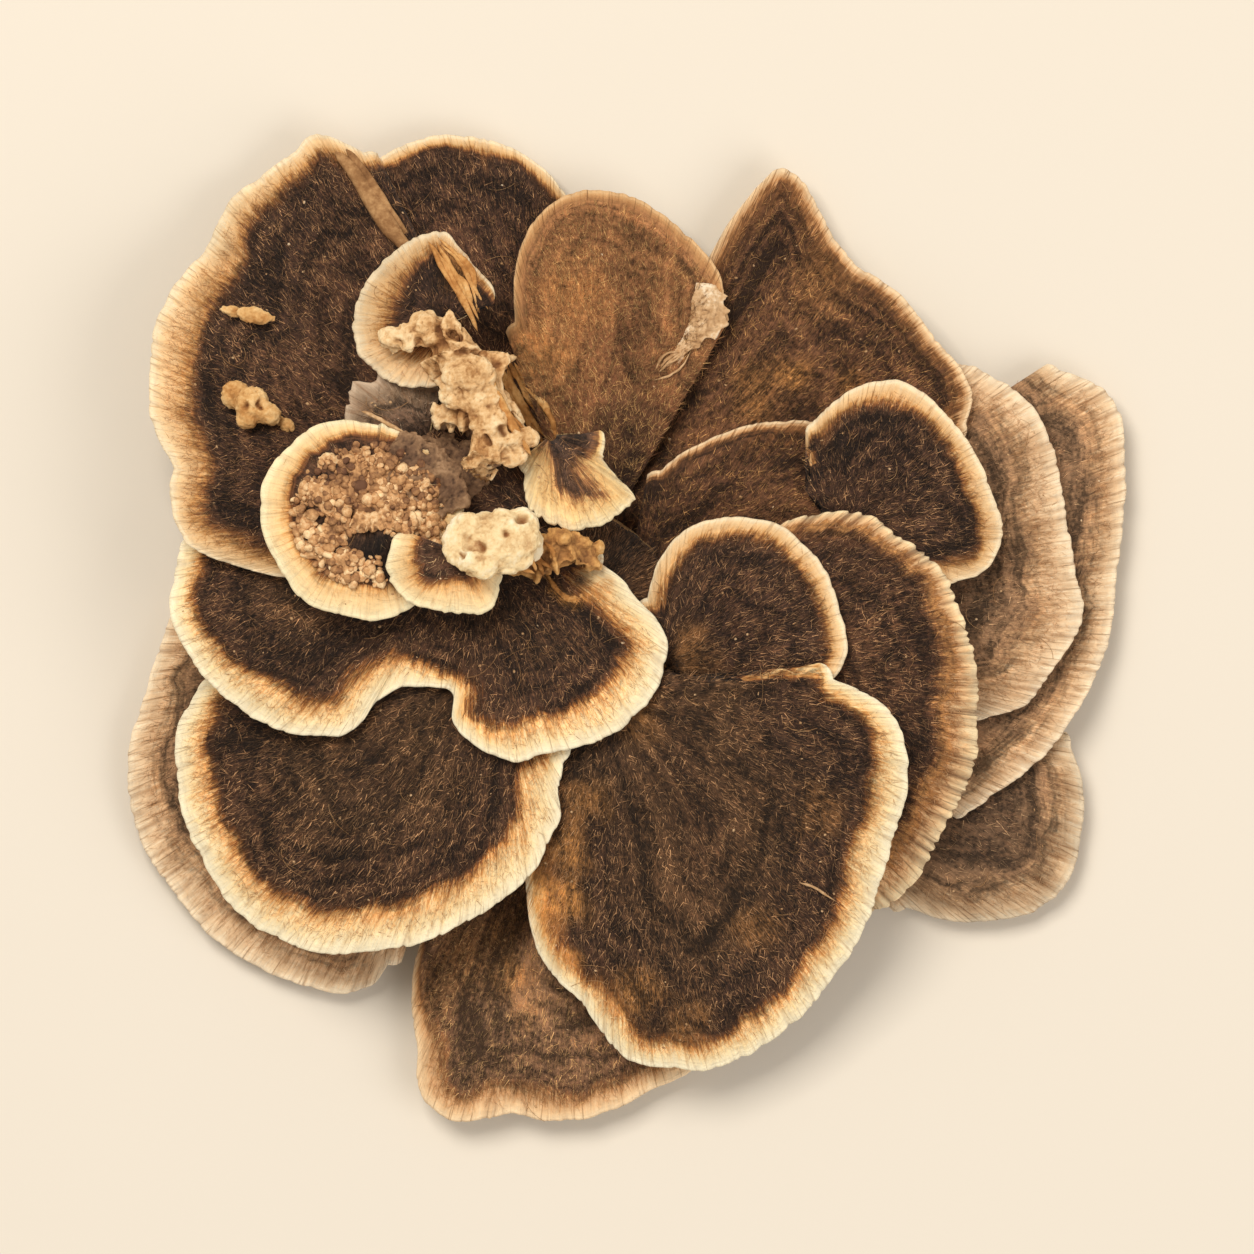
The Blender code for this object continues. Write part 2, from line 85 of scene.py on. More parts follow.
# %% Colours, nodes and objects
def linear(colour):
    """An sRGB hex colour as linear red, green, blue and alpha."""
    parts = [int(colour[i:i + 2], 16) / 255 for i in (1, 3, 5)]
    return tuple(p / 12.92 if p <= 0.04045 else ((p + 0.055) / 1.055) ** 2.4
                 for p in parts) + (1.0,)


def fill(tree, node, sockets):
    """Give sockets a value, or a link where an output is given, or a node for its first output."""
    for key, value in sockets.items():
        if isinstance(value, bpy.types.Node):
            value = next(output for output in value.outputs if output.enabled)
        if isinstance(value, bpy.types.NodeSocket):
            tree.links.new(value, node.inputs[key])
        else:
            node.inputs[key].default_value = value


def add(tree, kind, sockets=None, stops="", **settings):
    """Add a node of a kind. Stops are the places and hex colours of a ramp, in one line."""
    family = next(family for family in ("ShaderNode", "GeometryNode", "FunctionNode", "")
                  if hasattr(bpy.types, family + kind))
    node = tree.nodes.new(family + kind)
    for key, value in settings.items():
        setattr(node, key, value)
    fill(tree, node, sockets or {})
    places, colours = stops.split()[::2], stops.split()[1::2]
    if stops:
        ramp = node.color_ramp.elements
        while len(ramp) < len(places):
            ramp.new(0.5)
        for element, place, colour in zip(ramp, places, colours):
            element.position = float(place)
            element.color = linear(colour)
    return node


def new_material(name):
    """A material, its tree, its shader, and the function that adds nodes to it."""
    material = bpy.data.materials.new(name)
    material.use_nodes = True
    tree = material.node_tree
    return material, tree, tree.nodes["Principled BSDF"], partial(add, tree)


def put(name, data):
    """A new object in the scene."""
    thing = bpy.data.objects.new(name, data)
    bpy.context.scene.collection.objects.link(thing)
    return thing


def mesh_from(bm, name):
    """The mesh that was built up in bm."""
    mesh = bpy.data.meshes.new(name)
    bm.to_mesh(mesh)
    bm.free()
    return mesh


def store(mesh, key, values):
    """Keep a number, or a row of three, at each point of a mesh."""
    values = np.asarray(values, np.float32)
    kind, field_name = (("FLOAT", "value") if values.size == len(mesh.vertices)
                        else ("FLOAT_VECTOR", "vector"))
    mesh.attributes.new(key, kind, "POINT").data.foreach_set(
        field_name, np.ascontiguousarray(values).ravel())


# %% [markdown]
# ## The view
# The photograph looks straight down, with hardly any perspective, so the camera hangs high above
# the rosette with a long lens. The floor is a plain warm white sheet. The light is one large soft
# lamp at the upper left, and a weaker one opposite that opens the shadows. Colours are shown as
# they are, without a film curve, so a hex value in a finish is the colour that it looks.

# %% Camera, floor and light
FRAME_WIDTH = 103 * MM
SENSOR_WIDTH = 36
HANG = 0.75
low, high = cad_box
middle = (low + high) / 2

lens = bpy.data.cameras.new("copy_stand_camera")
lens.sensor_width = SENSOR_WIDTH
lens.lens = SENSOR_WIDTH * (HANG - 0.5 * high.z) / FRAME_WIDTH
lens.clip_start = 0.05
camera = put("copy_stand_camera", lens)
camera.location = (middle.x, middle.y, HANG)
bpy.context.scene.camera = camera

PAPER_HALF = 1.5
PAPER_GAP = 0.2 * MM
sheet = bpy.data.meshes.new("floor")
sheet.from_pydata([(x * PAPER_HALF, y * PAPER_HALF, 0)
                   for x, y in ((-1, -1), (1, -1), (1, 1), (-1, 1))], [], [(0, 1, 2, 3)])
floor = put("floor", sheet)
floor.location.z = low.z - PAPER_GAP
paper, tree, shader, _ = new_material("warm_white_paper")
fill(tree, shader, {"Base Color": linear("#E9E1D5"), "Roughness": 0.9})
sheet.materials.append(paper)


def lamp(name, place, size, power, colour):
    """A square soft box that faces the rosette."""
    data = bpy.data.lights.new(name, "AREA")
    data.size = size
    data.energy = power
    data.color = linear(colour)[:3]
    thing = put(name, data)
    thing.location = place
    thing.rotation_euler = (middle - Vector(place)).to_track_quat("-Z", "Y").to_euler()


lamp("key_soft_box", (-0.19, 0.30, 0.64), 0.32, 3.8, "#FFF8EC")
lamp("fill_soft_box", (0.45, -0.25, 0.5), 0.5, 1.9, "#FFFAF2")
world = bpy.data.worlds.new("studio")
world.use_nodes = True
fill(world.node_tree, world.node_tree.nodes["Background"],
     {"Color": linear("#FFF8EE"), "Strength": 0.36})
bpy.context.scene.world = world
bpy.context.scene.view_settings.view_transform = "Standard"
print("camera", round(HANG, 2), "m up, lens", round(lens.lens), "mm")

# %% [markdown]
# ## What differs from bracket to bracket
# A bracket's shape comes from its solid. What the solid can't tell is written here: where its
# fibres spring from, which finish it has, and how wide its pale margin and the amber band behind
# it are, at places an equal way apart along its edge, taken anticlockwise. All are in millimetres.

# %% The brackets
@dataclass
class Cap:
    """One bracket. worn lists rubbed patches, and the other list patches of painted shade, each as
    (x, y, radius, strength).

    A fused side sinks into what lies below it, and one that isn't fused is a thin free edge.
    lobes are pale lobes on the last side: (distance from the growth point, half width, reach).
    """

    growth: tuple
    finish: str
    cream: tuple
    amber: tuple = (1.4,)
    furrow: float = 0.10
    spacing: float = 0.95
    rib: float = 0.04
    frill: float = 0.22
    gentle: float = 2.2
    wave: float = 0.12
    nap: float = 26.0
    worn: tuple = ()
    # Patches of painted shade, darker where shade falls on the bracket
    dim: tuple = ()
    fused: tuple = (True, True)
    lobes: tuple = ()
    closed: bool = False


CAPS = {
    "cap_rear_low": Cap((7, -5), "tan", (1.6, 1.8, 1.6), (2.0,), nap=10, dim=((34, -19, 14,
        0.4),)),
    "cap_rear_right": Cap((7.5, -1), "tan", (1.4, 1.6, 1.8, 1.8, 1.6), (2.2,), rib=0.06,
        gentle=1.2, nap=12),
    "cap_rear_top": Cap((-1, 5), "gold", (0.6, 0.8, 0.6), (0.8,)),
    "cap_rear_left": Cap((-7.5, -3), "tan", (1.2, 1.8, 2.2, 2.4, 2.0, 1.4), (1.8,), rib=0.05,
        gentle=1.2, nap=12),
    # cap_bottom has the lighter warm finish, painted light where the brackets above shade it; its
    # broad worn patches are partly rubbed tissue and partly painted light
    "cap_bottom": Cap((-1, -8.5), "warm", (0.15, 0.15, 0.7, 1.8, 2.0, 1.8, 1.4, 1.0), (0.15, 0.15,
        1.0, 1.3, 1.3, 1.2), worn=((-5.4, -30, 2.4, 0.75), (-6.5, -26, 2.6, 0.5), (-4, -33, 2,
        0.3), (-9, -28, 4.5, 0.35), (-12, -31, 4, 0.3)), dim=((-3, -20, 4, 0.35), (0, -30, 3,
        0.5)), nap=34),
    "cap_right": Cap((7.5, 0), "tan", (1.8, 2.4, 2.7, 2.7, 2.5, 2.2), (2.4,), rib=0.08, frill=0.3,
        gentle=0.9, nap=16, spacing=0.8, dim=((31, -1, 5, 0.35), (31, 4, 5, 0.3))),
    "cap_top_right": Cap((1, 2), "brown", (0.6, 0.7, 0.6, 0.6, 0.8, 0.9, 0.6), (1.8, 2.2, 1.2),
        worn=((18, 19.5, 2.2, 0.9), (23, 19, 1.6, 0.5), (15, 17.8, 3.6, 0.5), (30, 27, 3, 0.4),
        (20, 27, 4, 0.25)), dim=((8, 8, 6, 0.5), (15, 30, 3, 0.3))),
    "cap_top": Cap((1.5, 6.5), "buff", (0.6, 0.6, 0.6), (1.0,), nap=44, dim=((3, 11, 6, 0.75),
        (4.5, 15, 5, 0.5)), worn=((-3, 21, 4.5, 0.6), (0, 26, 5, 0.45))),
    "cap_wing": Cap((5, 1), "brown", (0.3, 0.4, 0.4, 0.35, 0.3), (0.6,), dim=((8, 5, 6, 0.5),)),
    "cap_upper_right": Cap((21.5, 6.5), "gold", (0.8, 1.4, 1.6, 1.5, 1.3, 0.9), (1.1,),
        fused=(True, False), lobes=((9.6, 1.2, 0.4), (6.5, 0.6, 0.2))),
    "cap_crescent": Cap((7, -5), "ribbed", (2.4, 2.8, 2.6, 2.2, 1.7, 1.2, 0.9, 0.5), (1.5, 1.5,
        1.2), furrow=0.24, spacing=0.75, rib=0.09, frill=0.3, gentle=0.7, wave=0.16),
    "cap_round": Cap((7, -4.5), "gold", (1.0, 1.2, 1.3, 1.2, 1.0, 0.6), (1.2,), worn=((9.5, -3.5,
        3, 0.35),)),
    "cap_front": Cap((2.5, -6.5), "dark", (0.5, 0.7, 1.1, 1.6, 1.7, 1.8, 2.1, 2.4, 2.6, 2.4, 1.6,
        0.6), (2.6, 2.4, 1.6, 1.3, 1.3, 1.2, 0.8), furrow=0.14, gentle=1.6, worn=((-2.2, -23.9,
        4.0, 1.4), (-0.8, -19.5, 3.2, 0.7), (0.6, -15.5, 3, 0.5), (-0.4, -28.6, 1.6, 0.9), (4.6,
        -31.4, 3.6, 0.7), (9, -34, 3.5, 0.4), (4.5, -8.5, 3.5, 0.5), (15, -26, 3, 0.3), (20, -16,
        3, 0.25)), dim=((3.5, -11, 3, 0.5),), fused=(True, False), lobes=((18.0, 1.4, 1.1), (14.9,
        1.0, 0.8), (12.3, 1.0, 0.4))),
    "cap_lower_left": Cap((-6.5, -4), "dark", (1.6, 2.0, 2.4, 2.6, 2.9, 3.1, 3.0, 2.9, 2.8, 2.2,
        1.2), (1.4,), furrow=0.14, gentle=1.8, dim=((-17, -16, 6, 0.35),)),
    "cap_lobed": Cap((-8, 8), "dark", (1.2, 1.6, 2.0, 2.5, 2.7, 2.5, 1.9, 0.8, 0.7, 1.6, 2.6, 2.9,
        2.8, 2.4, 1.8, 0.6), (1.3, 1.5, 1.5, 1.0, 1.5, 1.3), dim=((0.3, 2.7, 1.5, 1.0), (-1.9,
        3.2, 0.6, 1.0)), worn=((-2.3, 2.9, 0.6, 1.3), (-1.6, 1.8, 0.7, 1.5), (-0.8, 1.0, 0.8,
        1.6), (0.1, 0.8, 0.8, 1.6), (1.0, 1.2, 0.7, 1.5), (1.8, 1.9, 0.7, 1.3), (2.7, 2.3, 0.9,
        1.2), (2.2, 4.0, 1.0, 1.2))),
    "cap_left": Cap((-3, 8), "gold", (0.7, 1.5, 2.4, 3.0, 3.2, 3.0, 2.6, 1.8, 1.2, 1.0), (1.3,),
        dim=((-24, 27, 9, 0.3),), fused=(True, False), lobes=((20, 3, 0.2),)),
    "cap_flap": Cap((-12, 14), "grey", (1.2, 1.6), (2.0,), furrow=0.3, frill=1.4, gentle=1.0,
        wave=0.3, nap=12, fused=(False, False)),
    "cap_small_fan": Cap((-2, 14.5), "streaked", (2.0, 2.3, 2.1, 1.4, 0.4), (1.1,), furrow=0.25,
        gentle=1.0, nap=14, spacing=0.6, wave=0.2, fused=(True, False), dim=((-1.2, 13.4, 3.0,
        0.15),)),
    "cap_saucer": Cap((-16.5, 8.5), "pale", (0.5, 1.6, 2.0, 2.2, 2.3, 2.1, 1.6, 0.8, 0.4), (0.8,),
        closed=True, furrow=0.06, nap=3, wave=0.15, dim=((-16.2, 4.6, 2.6, 1.0), (-14.6, 2.9, 2.2,
        0.9), (-13, 12, 3, 0.5))),
    "cap_scalloped": Cap((-9.5, 5), "pale", (1.6, 2.0, 2.2, 1.8), (0.9,), frill=0.6, nap=8,
        furrow=0.2, gentle=1.5, wave=0.5),
    "cap_small_top": Cap((-10.5, 23.5), "gold", (0.2, 0.9, 2.0, 2.6, 2.6, 2.2), (0.9, 1.6, 1.6),
        furrow=0.13, frill=0.3, nap=12, spacing=0.8, wave=0.2, worn=((-9, 28.5, 3, 0.8),),
        fused=(False, True), dim=((-12.5, 26, 12, 0.2),)),
}
print(len(CAPS), "brackets")

# %% [markdown]
# ## Reading a bracket's solid
# The solid is a coarse fan: rays spread from the growth point, and each carries a few pairs of
# corners, one above the other, and one last corner at the blunt edge. Sorting the corners by
# their angle and then by their reach gives that grid back. A spline through the grid's rows and
# columns then gives a smooth height anywhere between them.

# %% The grid of a solid
RAY_GAP = 0.004  # Corners whose angles are nearer than this, in radians, are on one ray


@dataclass
class Fan:
    """A solid's rays: their angles, where they start and end, and heights above and below."""

    angles: np.ndarray
    starts: np.ndarray
    reaches: np.ndarray
    shares: np.ndarray
    top: np.ndarray
    low: np.ndarray


def read_fan(name):
    """The solid's corners put back in their rays, in millimetres."""
    mesh = frame["nodes"][name].data
    corners = np.empty(len(mesh.vertices) * 3, np.float32)
    mesh.vertices.foreach_get("co", corners)
    corners = np.unique(corners.reshape(-1, 3), axis=0).astype(float) / MM
    offsets = corners[:, :2] - np.array(CAPS[name].growth, float)
    reach = np.hypot(offsets[:, 0], offsets[:, 1])
    angle = np.arctan2(offsets[:, 1], offsets[:, 0])
    order = np.argsort(angle)
    gaps = np.diff(np.append(angle[order], angle[order[0]] + 2 * math.pi))
    first = angle[order[(np.argmax(gaps) + 1) % len(order)]] - RAY_GAP / 2
    angle = first + np.mod(angle - first, 2 * math.pi)
    order = np.argsort(angle)
    rays = np.split(order, np.flatnonzero(np.diff(angle[order]) > RAY_GAP) + 1)
    table = []
    for ray in rays:
        ray = ray[np.argsort(reach[ray])][:-1]
        pairs = ray.reshape(-1, 2)
        heights = np.sort(corners[pairs, 2], axis=1)
        table.append((angle[ray].mean(), reach[pairs].mean(axis=1), heights[:, 1], heights[:, 0]))
    angles, reaches, top, low = (np.array(column) for column in zip(*table))
    shares = (reaches - reaches[:, :1]) / (reaches[:, -1:] - reaches[:, :1])
    return Fan(angles, reaches[:, 0], reaches[:, -1], shares.mean(axis=0), top, low)


def spline(count, places, closed=False):
    """Weights that turn count values into smooth values at places from 0 to count - 1."""
    weights = np.zeros((len(places), count))
    cell = np.clip(np.floor(places).astype(int), 0, count - (1 if closed else 2))
    t = places - cell
    basis = ((-t + 2 * t ** 2 - t ** 3) / 2, (2 - 5 * t ** 2 + 3 * t ** 3) / 2,
             (t + 4 * t ** 2 - 3 * t ** 3) / 2, (t ** 3 - t ** 2) / 2)
    rows = np.arange(len(places))
    for step, weight in zip((-1, 0, 1, 2), basis):
        at = cell + step
        if closed:
            np.add.at(weights, (rows, at % count), weight)
            continue
        for beyond, end, inner in ((at < 0, 0, 1), (at > count - 1, count - 1, count - 2)):
            np.add.at(weights, (rows[beyond], end), 2 * weight[beyond])
            np.add.at(weights, (rows[beyond], inner), -weight[beyond])
        inside = (at >= 0) & (at < count)
        np.add.at(weights, (rows[inside], at[inside]), weight[inside])
    return weights


fans = {name: read_fan(name) for name in CAPS}
print("rays read:", sum(len(fan.angles) for fan in fans.values()))

# %% [markdown]
# ## Unevenness
# Nothing that grew is even. Smooth random heights over a plane, one bump for each unit, give
# every slow or quick unevenness below, according to how the plane is stretched. Each bracket has
# a seed of its own, so that the same bracket comes out at every run. Blender's vector noise would
# start from the clock, so it gets a fixed seed as well.

# %% Smooth random heights
NOISE_SEED = 7
noise.seed_set(NOISE_SEED)


def lumps(u, v, seed):
    """Smooth random heights from -1 to 1, one bump for each unit of u and v."""
    size = 64
    table = np.random.default_rng(seed).uniform(-1, 1, (size, size))
    i, j = np.floor(u).astype(int), np.floor(v).astype(int)
    a, b = u - i, v - j
    a, b = a * a * (3 - 2 * a), b * b * (3 - 2 * b)
    return (table[i % size, j % size] * (1 - a) * (1 - b)
            + table[(i + 1) % size, j % size] * a * (1 - b)
            + table[i % size, (j + 1) % size] * (1 - a) * b
            + table[(i + 1) % size, (j + 1) % size] * a * b)


def step(value, start, end):
    """0 before start and 1 after end, smooth between them."""
    t = np.clip((value - start) / (end - start), 0, 1)
    return t * t * (3 - 2 * t)


# %% [markdown]
# ## Growing a bracket's skin
# One sheet makes the whole bracket: along each fine ray it runs from the root over the upper
# side, round the blunt margin, and back underneath. The rings lie close together near the margin,
# where the bands and furrows are, and far apart inside. Furrows are short creases that dry tissue
# gets across its margin; each one notches the edge a little. The sheet also stores what its
# finish will need: the distance from the margin, the way along the fibres, and which band a
# point lies in.

# %% The rings and the furrows
RAY_SPACING = 0.28
NOSE_STEPS = np.radians((55, 20, -20, -55))
UNDER_SHARES = np.array((1.0, 0.97, 0.92, 0.84, 0.74, 0.6, 0.45, 0.3, 0.15, 0.0))


def ring_places(longest):
    """Distances from the margin to the rings, for the longest ray, in millimetres."""
    places = [0.0, 0.1, 0.24, 0.42, 0.66]
    while places[-1] < longest:
        places.append(places[-1] + min(1.1, 0.25 + 0.06 * max(0, places[-1] - 4)))
    places[-1] = longest
    return np.array(places)


def furrows(length, seed, spacing, gentle):
    """Where creases cross the margin: their places along it, depths, lengths and widths."""
    chance = np.random.default_rng(seed)
    at = np.cumsum(chance.gamma(2.2, spacing / 2.2, int(3 * length / spacing)))
    at = at[at < length]
    return (at, 0.15 + 0.85 * chance.uniform(0, 1, len(at)) ** gentle,
            chance.uniform(1.0, 4.2, len(at)), chance.uniform(0.12, 0.26, len(at)))


def creases(along, edge, scale, cuts):
    """How deep in a furrow each point lies, from 0 to 1."""
    at, depth, length, width = cuts
    deep = np.zeros_like(edge)
    for place, d, reach, w in zip(at, depth, length, width):
        near = np.abs(along - place) < 4 * w
        if near.any():
            across = (along[near] - place) * scale[near]
            fade = 1 - step(edge[near], 0.35 * reach, reach)
            deep[near] = np.maximum(deep[near], d * fade * np.exp(-(across / w) ** 2))
    return deep


# %% [markdown]
# A point's band is counted from the margin inwards: 0 at the edge, 1 where the pale margin ends,
# 2 where the amber band ends, and then one more for every four millimetres. Finishes paint by
# this number, so the same colours fit a wide band and a narrow one.

# %% The skin of one bracket
BAND_STEP = 4.0


def widths(values, along, length):
    """A band's width at each way along the margin, from a few values an equal way apart."""
    places = np.linspace(0, length, len(values)) if len(values) > 1 else np.zeros(1)
    return np.interp(along, places, values)


def grow_skin(name, seed):
    """The bracket's sheet: its points, faces and what its finish reads, in millimetres."""
    cap, fan = CAPS[name], fans[name]
    gx, gy = cap.growth
    rays, rings = fan.top.shape
    turns = rays if cap.closed else rays - 1
    outline = np.column_stack([gx + fan.reaches * np.cos(fan.angles),
                               gy + fan.reaches * np.sin(fan.angles)])
    if cap.closed:
        outline = np.vstack([outline, outline[:1]])
    length = np.linalg.norm(np.diff(outline, axis=0), axis=1).sum()
    columns = int(length / RAY_SPACING)
    places = np.linspace(0, turns, columns + 1)
    if cap.closed:
        places = places[:-1]
    across = spline(rays, places, cap.closed)
    angle = across @ fan.angles
    if cap.closed:
        angle = across @ np.cos(fan.angles), across @ np.sin(fan.angles)
        angle = np.unwrap(np.arctan2(angle[1], angle[0]))
    start, reach = across @ fan.starts, across @ fan.reaches
    along = places * length / turns

    cuts = furrows(length, seed, cap.spacing, cap.gentle)
    notch = creases(along, np.zeros_like(along), np.ones_like(along), cuts)
    frill = cap.frill * (0.7 * lumps(along / 3.7, 0 * along, seed)
                         + 0.55 * lumps(along / 1.3, 0 * along + 7.5, seed)
                         + 0.25 * lumps(along / 0.6, 0 * along + 3.5, seed))
    reach = reach + frill - 1.6 * cap.furrow * notch

    longest = float((reach - start).max())
    share = 1 - ring_places(longest)[::-1] / longest
    at_ring = np.interp(share, fan.shares, np.arange(rings))
    down = spline(rings, at_ring)
    top = across @ fan.top @ down.T
    under = np.interp(UNDER_SHARES, fan.shares, np.arange(rings))
    low = across @ fan.low @ spline(rings, under).T

    way = start[:, None] + (reach - start)[:, None] * share
    low_way = start[:, None] + (reach - start)[:, None] * UNDER_SHARES
    shape = way.shape
    s = np.broadcast_to(along[:, None], shape)

    def plan(distance):
        return (gx + distance * np.cos(angle)[:, None], gy + distance * np.sin(angle)[:, None])

    margin_x, margin_y = plan(reach[:, None])
    tree = KDTree(len(margin_x))
    for i, (x, y) in enumerate(zip(margin_x[:, 0], margin_y[:, 0])):
        tree.insert((x, y, 0), i)
    tree.balance()

    def from_margin(x, y):
        flat = np.column_stack([x.ravel(), y.ravel()])
        return np.array([tree.find((a, b, 0))[2] for a, b in flat]).reshape(x.shape)

    x, y = plan(way)
    edge = from_margin(x, y)
    scale = way / reach[:, None]
    groove = creases(s, edge, scale, cuts)
    sway = 0.12 * lumps(s / 11, way / 9, seed + 1)
    ribs = cap.rib * lumps(s / 1.25, way / 12, seed + 2) * (1 - step(edge, 3, 9))
    zones = 0.07 * lumps(s / 26, edge / 1.7, seed + 3) * step(edge, 0.8, 2.5)
    curl = -0.1 * (1 - step(edge, 0, 0.7))
    wave = cap.wave * (lumps(s / 2.6, 0 * s, seed + 9)
                       + 0.5 * lumps(s / 1.1, 0 * s, seed + 10)) * (1 - step(edge, 0, 2.6))
    top = top + sway + ribs + zones + curl + wave - cap.furrow * groove
    low_x, low_y = plan(low_way)
    low_sway = 0.12 * lumps(np.broadcast_to(along[:, None], low_way.shape) / 11, low_way / 9,
                            seed + 1)
    low = low + low_sway + wave[:, -1:] * (1 - step(reach[:, None] - low_way, 0, 2.6))

    middle_z = 0.5 * (top[:, -1] + low[:, 0])
    half = 0.5 * (top[:, -1] - low[:, 0])
    nose = reach[:, None] + 0.22 * np.cos(NOSE_STEPS)
    nose_x, nose_y = plan(nose)
    nose_z = middle_z[:, None] + half[:, None] * np.sin(NOSE_STEPS)

    if cap.closed:
        root = start[:, None] * np.array((0.02, 0.3, 0.65))
        drop = np.zeros(3)
    else:
        root = start[:, None] - np.array((1.5, 0.9, 0.35)) * np.minimum(1, start[:, None] / 2)
        drop = np.array((1.2, 0.55, 0.12))
    root_x, root_y = plan(root)
    root_top = top[:, :1] - drop
    root_low = low[:, -1:] - drop[::-1] * 0.8

    columns_x = np.hstack([root_x, x, nose_x, low_x, root_x[:, ::-1]])
    columns_y = np.hstack([root_y, y, nose_y, low_y, root_y[:, ::-1]])
    columns_z = np.hstack([root_top, top, nose_z, low, root_low])
    upper = root.shape[1] + shape[1] + nose.shape[1] // 2
    ways = np.hstack([root, way, nose, low_way, root[:, ::-1]])
    edges = np.hstack([edge[:, :1] + 0.3 * np.arange(3, 0, -1), edge, 0 * nose,
                       from_margin(low_x, low_y), edge[:, :1] + 0.3 * np.arange(1, 4)])
    grooves = np.hstack([0 * root, groove, np.repeat(notch[:, None], nose.shape[1], 1),
                         0 * low_way, 0 * root])
    sheet = dict(x=columns_x, y=columns_y, z=columns_z, way=ways, edge=edges, groove=grooves,
                 along=np.repeat(along[:, None], edges.shape[1], 1),
                 angle=np.repeat(angle[:, None], edges.shape[1], 1))
    sheet["beside"] = np.full(edges.shape, 9.0)
    if not cap.closed:
        sheet = with_sides(sheet, cap)
    return with_bands(sheet, cap, length, seed) | dict(upper=upper, seed=seed)


# %% [markdown]
# A fan also ends at two sides. Where a bracket is fused to its neighbour, its side sinks into
# what lies below. A free side is a thin edge, at times with a pale line along it.

# %% The two sides of a fan, and its bands
def lobe_reach(cap, way):
    """How far the lobes of a free side reach out, at each distance from the growth point."""
    reach = 0 * way
    for at, half_width, out in cap.lobes:
        reach = np.maximum(reach, out * np.exp(-((way - at) / half_width) ** 2))
    return reach


def with_sides(sheet, cap):
    """The sheet with a few more columns beyond each side, bent down."""
    tall = len(sheet["z"][0])
    for end, turn in ((0, -1), (-1, 1)):
        fused = cap.fused[end]
        outward = sheet["angle"][end] + turn * math.pi / 2
        room = np.minimum(1, sheet["way"][end] / 4)
        extra = {key: [] for key in sheet}
        for out, drop, back in ((0.35, 0.07, 0.05), (0.7, 0.3, 0.2), (1.0, 0.7, 0.5)):
            if not fused:
                free = step(sheet["way"][end], 6, 9)
                slim = out * (0.3 + lobe_reach(cap, sheet["way"][end]))
                wide = out * (1.4 + 0.5 * lumps(sheet["way"][end] / 1.4, 0 * free, 17))
                out, drop = wide * (1 - free) + slim * free, drop * (1 - 0.6 * free)
            shorter = back * sheet["way"][end] / sheet["way"][end].max()
            for key in sheet:
                extra[key].append(sheet[key][end].copy())
            extra["x"][-1] += (out * room * np.cos(outward)
                               - shorter * np.cos(sheet["angle"][end]))
            extra["y"][-1] += (out * room * np.sin(outward)
                               - shorter * np.sin(sheet["angle"][end]))
            extra["z"][-1] -= drop * (np.ones(tall) if fused else
                                      np.linspace(1, -0.2, tall))
            if not fused:
                extra["beside"][-1] = 0.3 + lobe_reach(cap, sheet["way"][end]) - out
            extra["along"][-1] += turn * out
        for key in sheet:
            block = np.array(extra[key])
            sheet[key] = np.vstack([block[::-1], sheet[key]] if turn < 0 else
                                   [sheet[key], block])
    return sheet


def with_bands(sheet, cap, length, seed):
    """The sheet with the band, the rubbed patches and the patches of painted shade, of each of its
    points.
    """
    edges, s = sheet["edge"], sheet["along"]
    cream = widths(cap.cream, s, length)
    amber = widths(cap.amber, s, length)
    waver = 0.35 * lumps(s / 2.4, edges / 3, seed + 4) + 0.2 * lumps(s / 0.9, edges / 2, seed)
    inward = np.maximum(edges + waver * step(edges, 0, 1.5), 0)
    band = np.where(inward < cream, inward / cream,
                    np.where(inward < cream + amber, 1 + (inward - cream) / amber,
                             2 + (inward - cream - amber) / BAND_STEP))
    angle, way = sheet["angle"], sheet["way"]
    if cap.lobes:
        reach = lobe_reach(cap, way)
        beside = np.where(sheet["beside"] < 9, sheet["beside"],
                          0.3 + reach + way * np.abs(np.sin(angle - angle[-4])))
        line = 0.01 + 1.5 * reach * (1 + 0.4 * lumps(way / 0.9, way / 5, seed + 6))
        pale = (beside < line) & (reach > 0.08)
        band = np.where(pale, np.minimum(band, 0.8 + 0.9 * np.maximum(beside, 0) / line), band)
    sheet["band"] = band
    # Rubbed patches, and patches of painted shade where shade falls
    for key, patches in (("worn", cap.worn), ("dim", cap.dim)):
        sheet[key] = np.zeros_like(edges)
        for px, py, radius, strength in patches:
            away = np.hypot(sheet["x"] - px, sheet["y"] - py) / radius
            away = away + 0.25 * lumps(sheet["x"] / 1.5, sheet["y"] / 1.5, seed + 8)
            sheet[key] = np.maximum(sheet[key], strength * (1 - step(away, 0.15, 1)))
    return sheet


# %% [markdown]
# A sheet becomes a mesh by joining each column of points to the next. A fan that doesn't close
# on itself gets a wall at each side, and the root strip joins the two skins. The faces of the
# upper side take the velvet, and those underneath the pore layer.

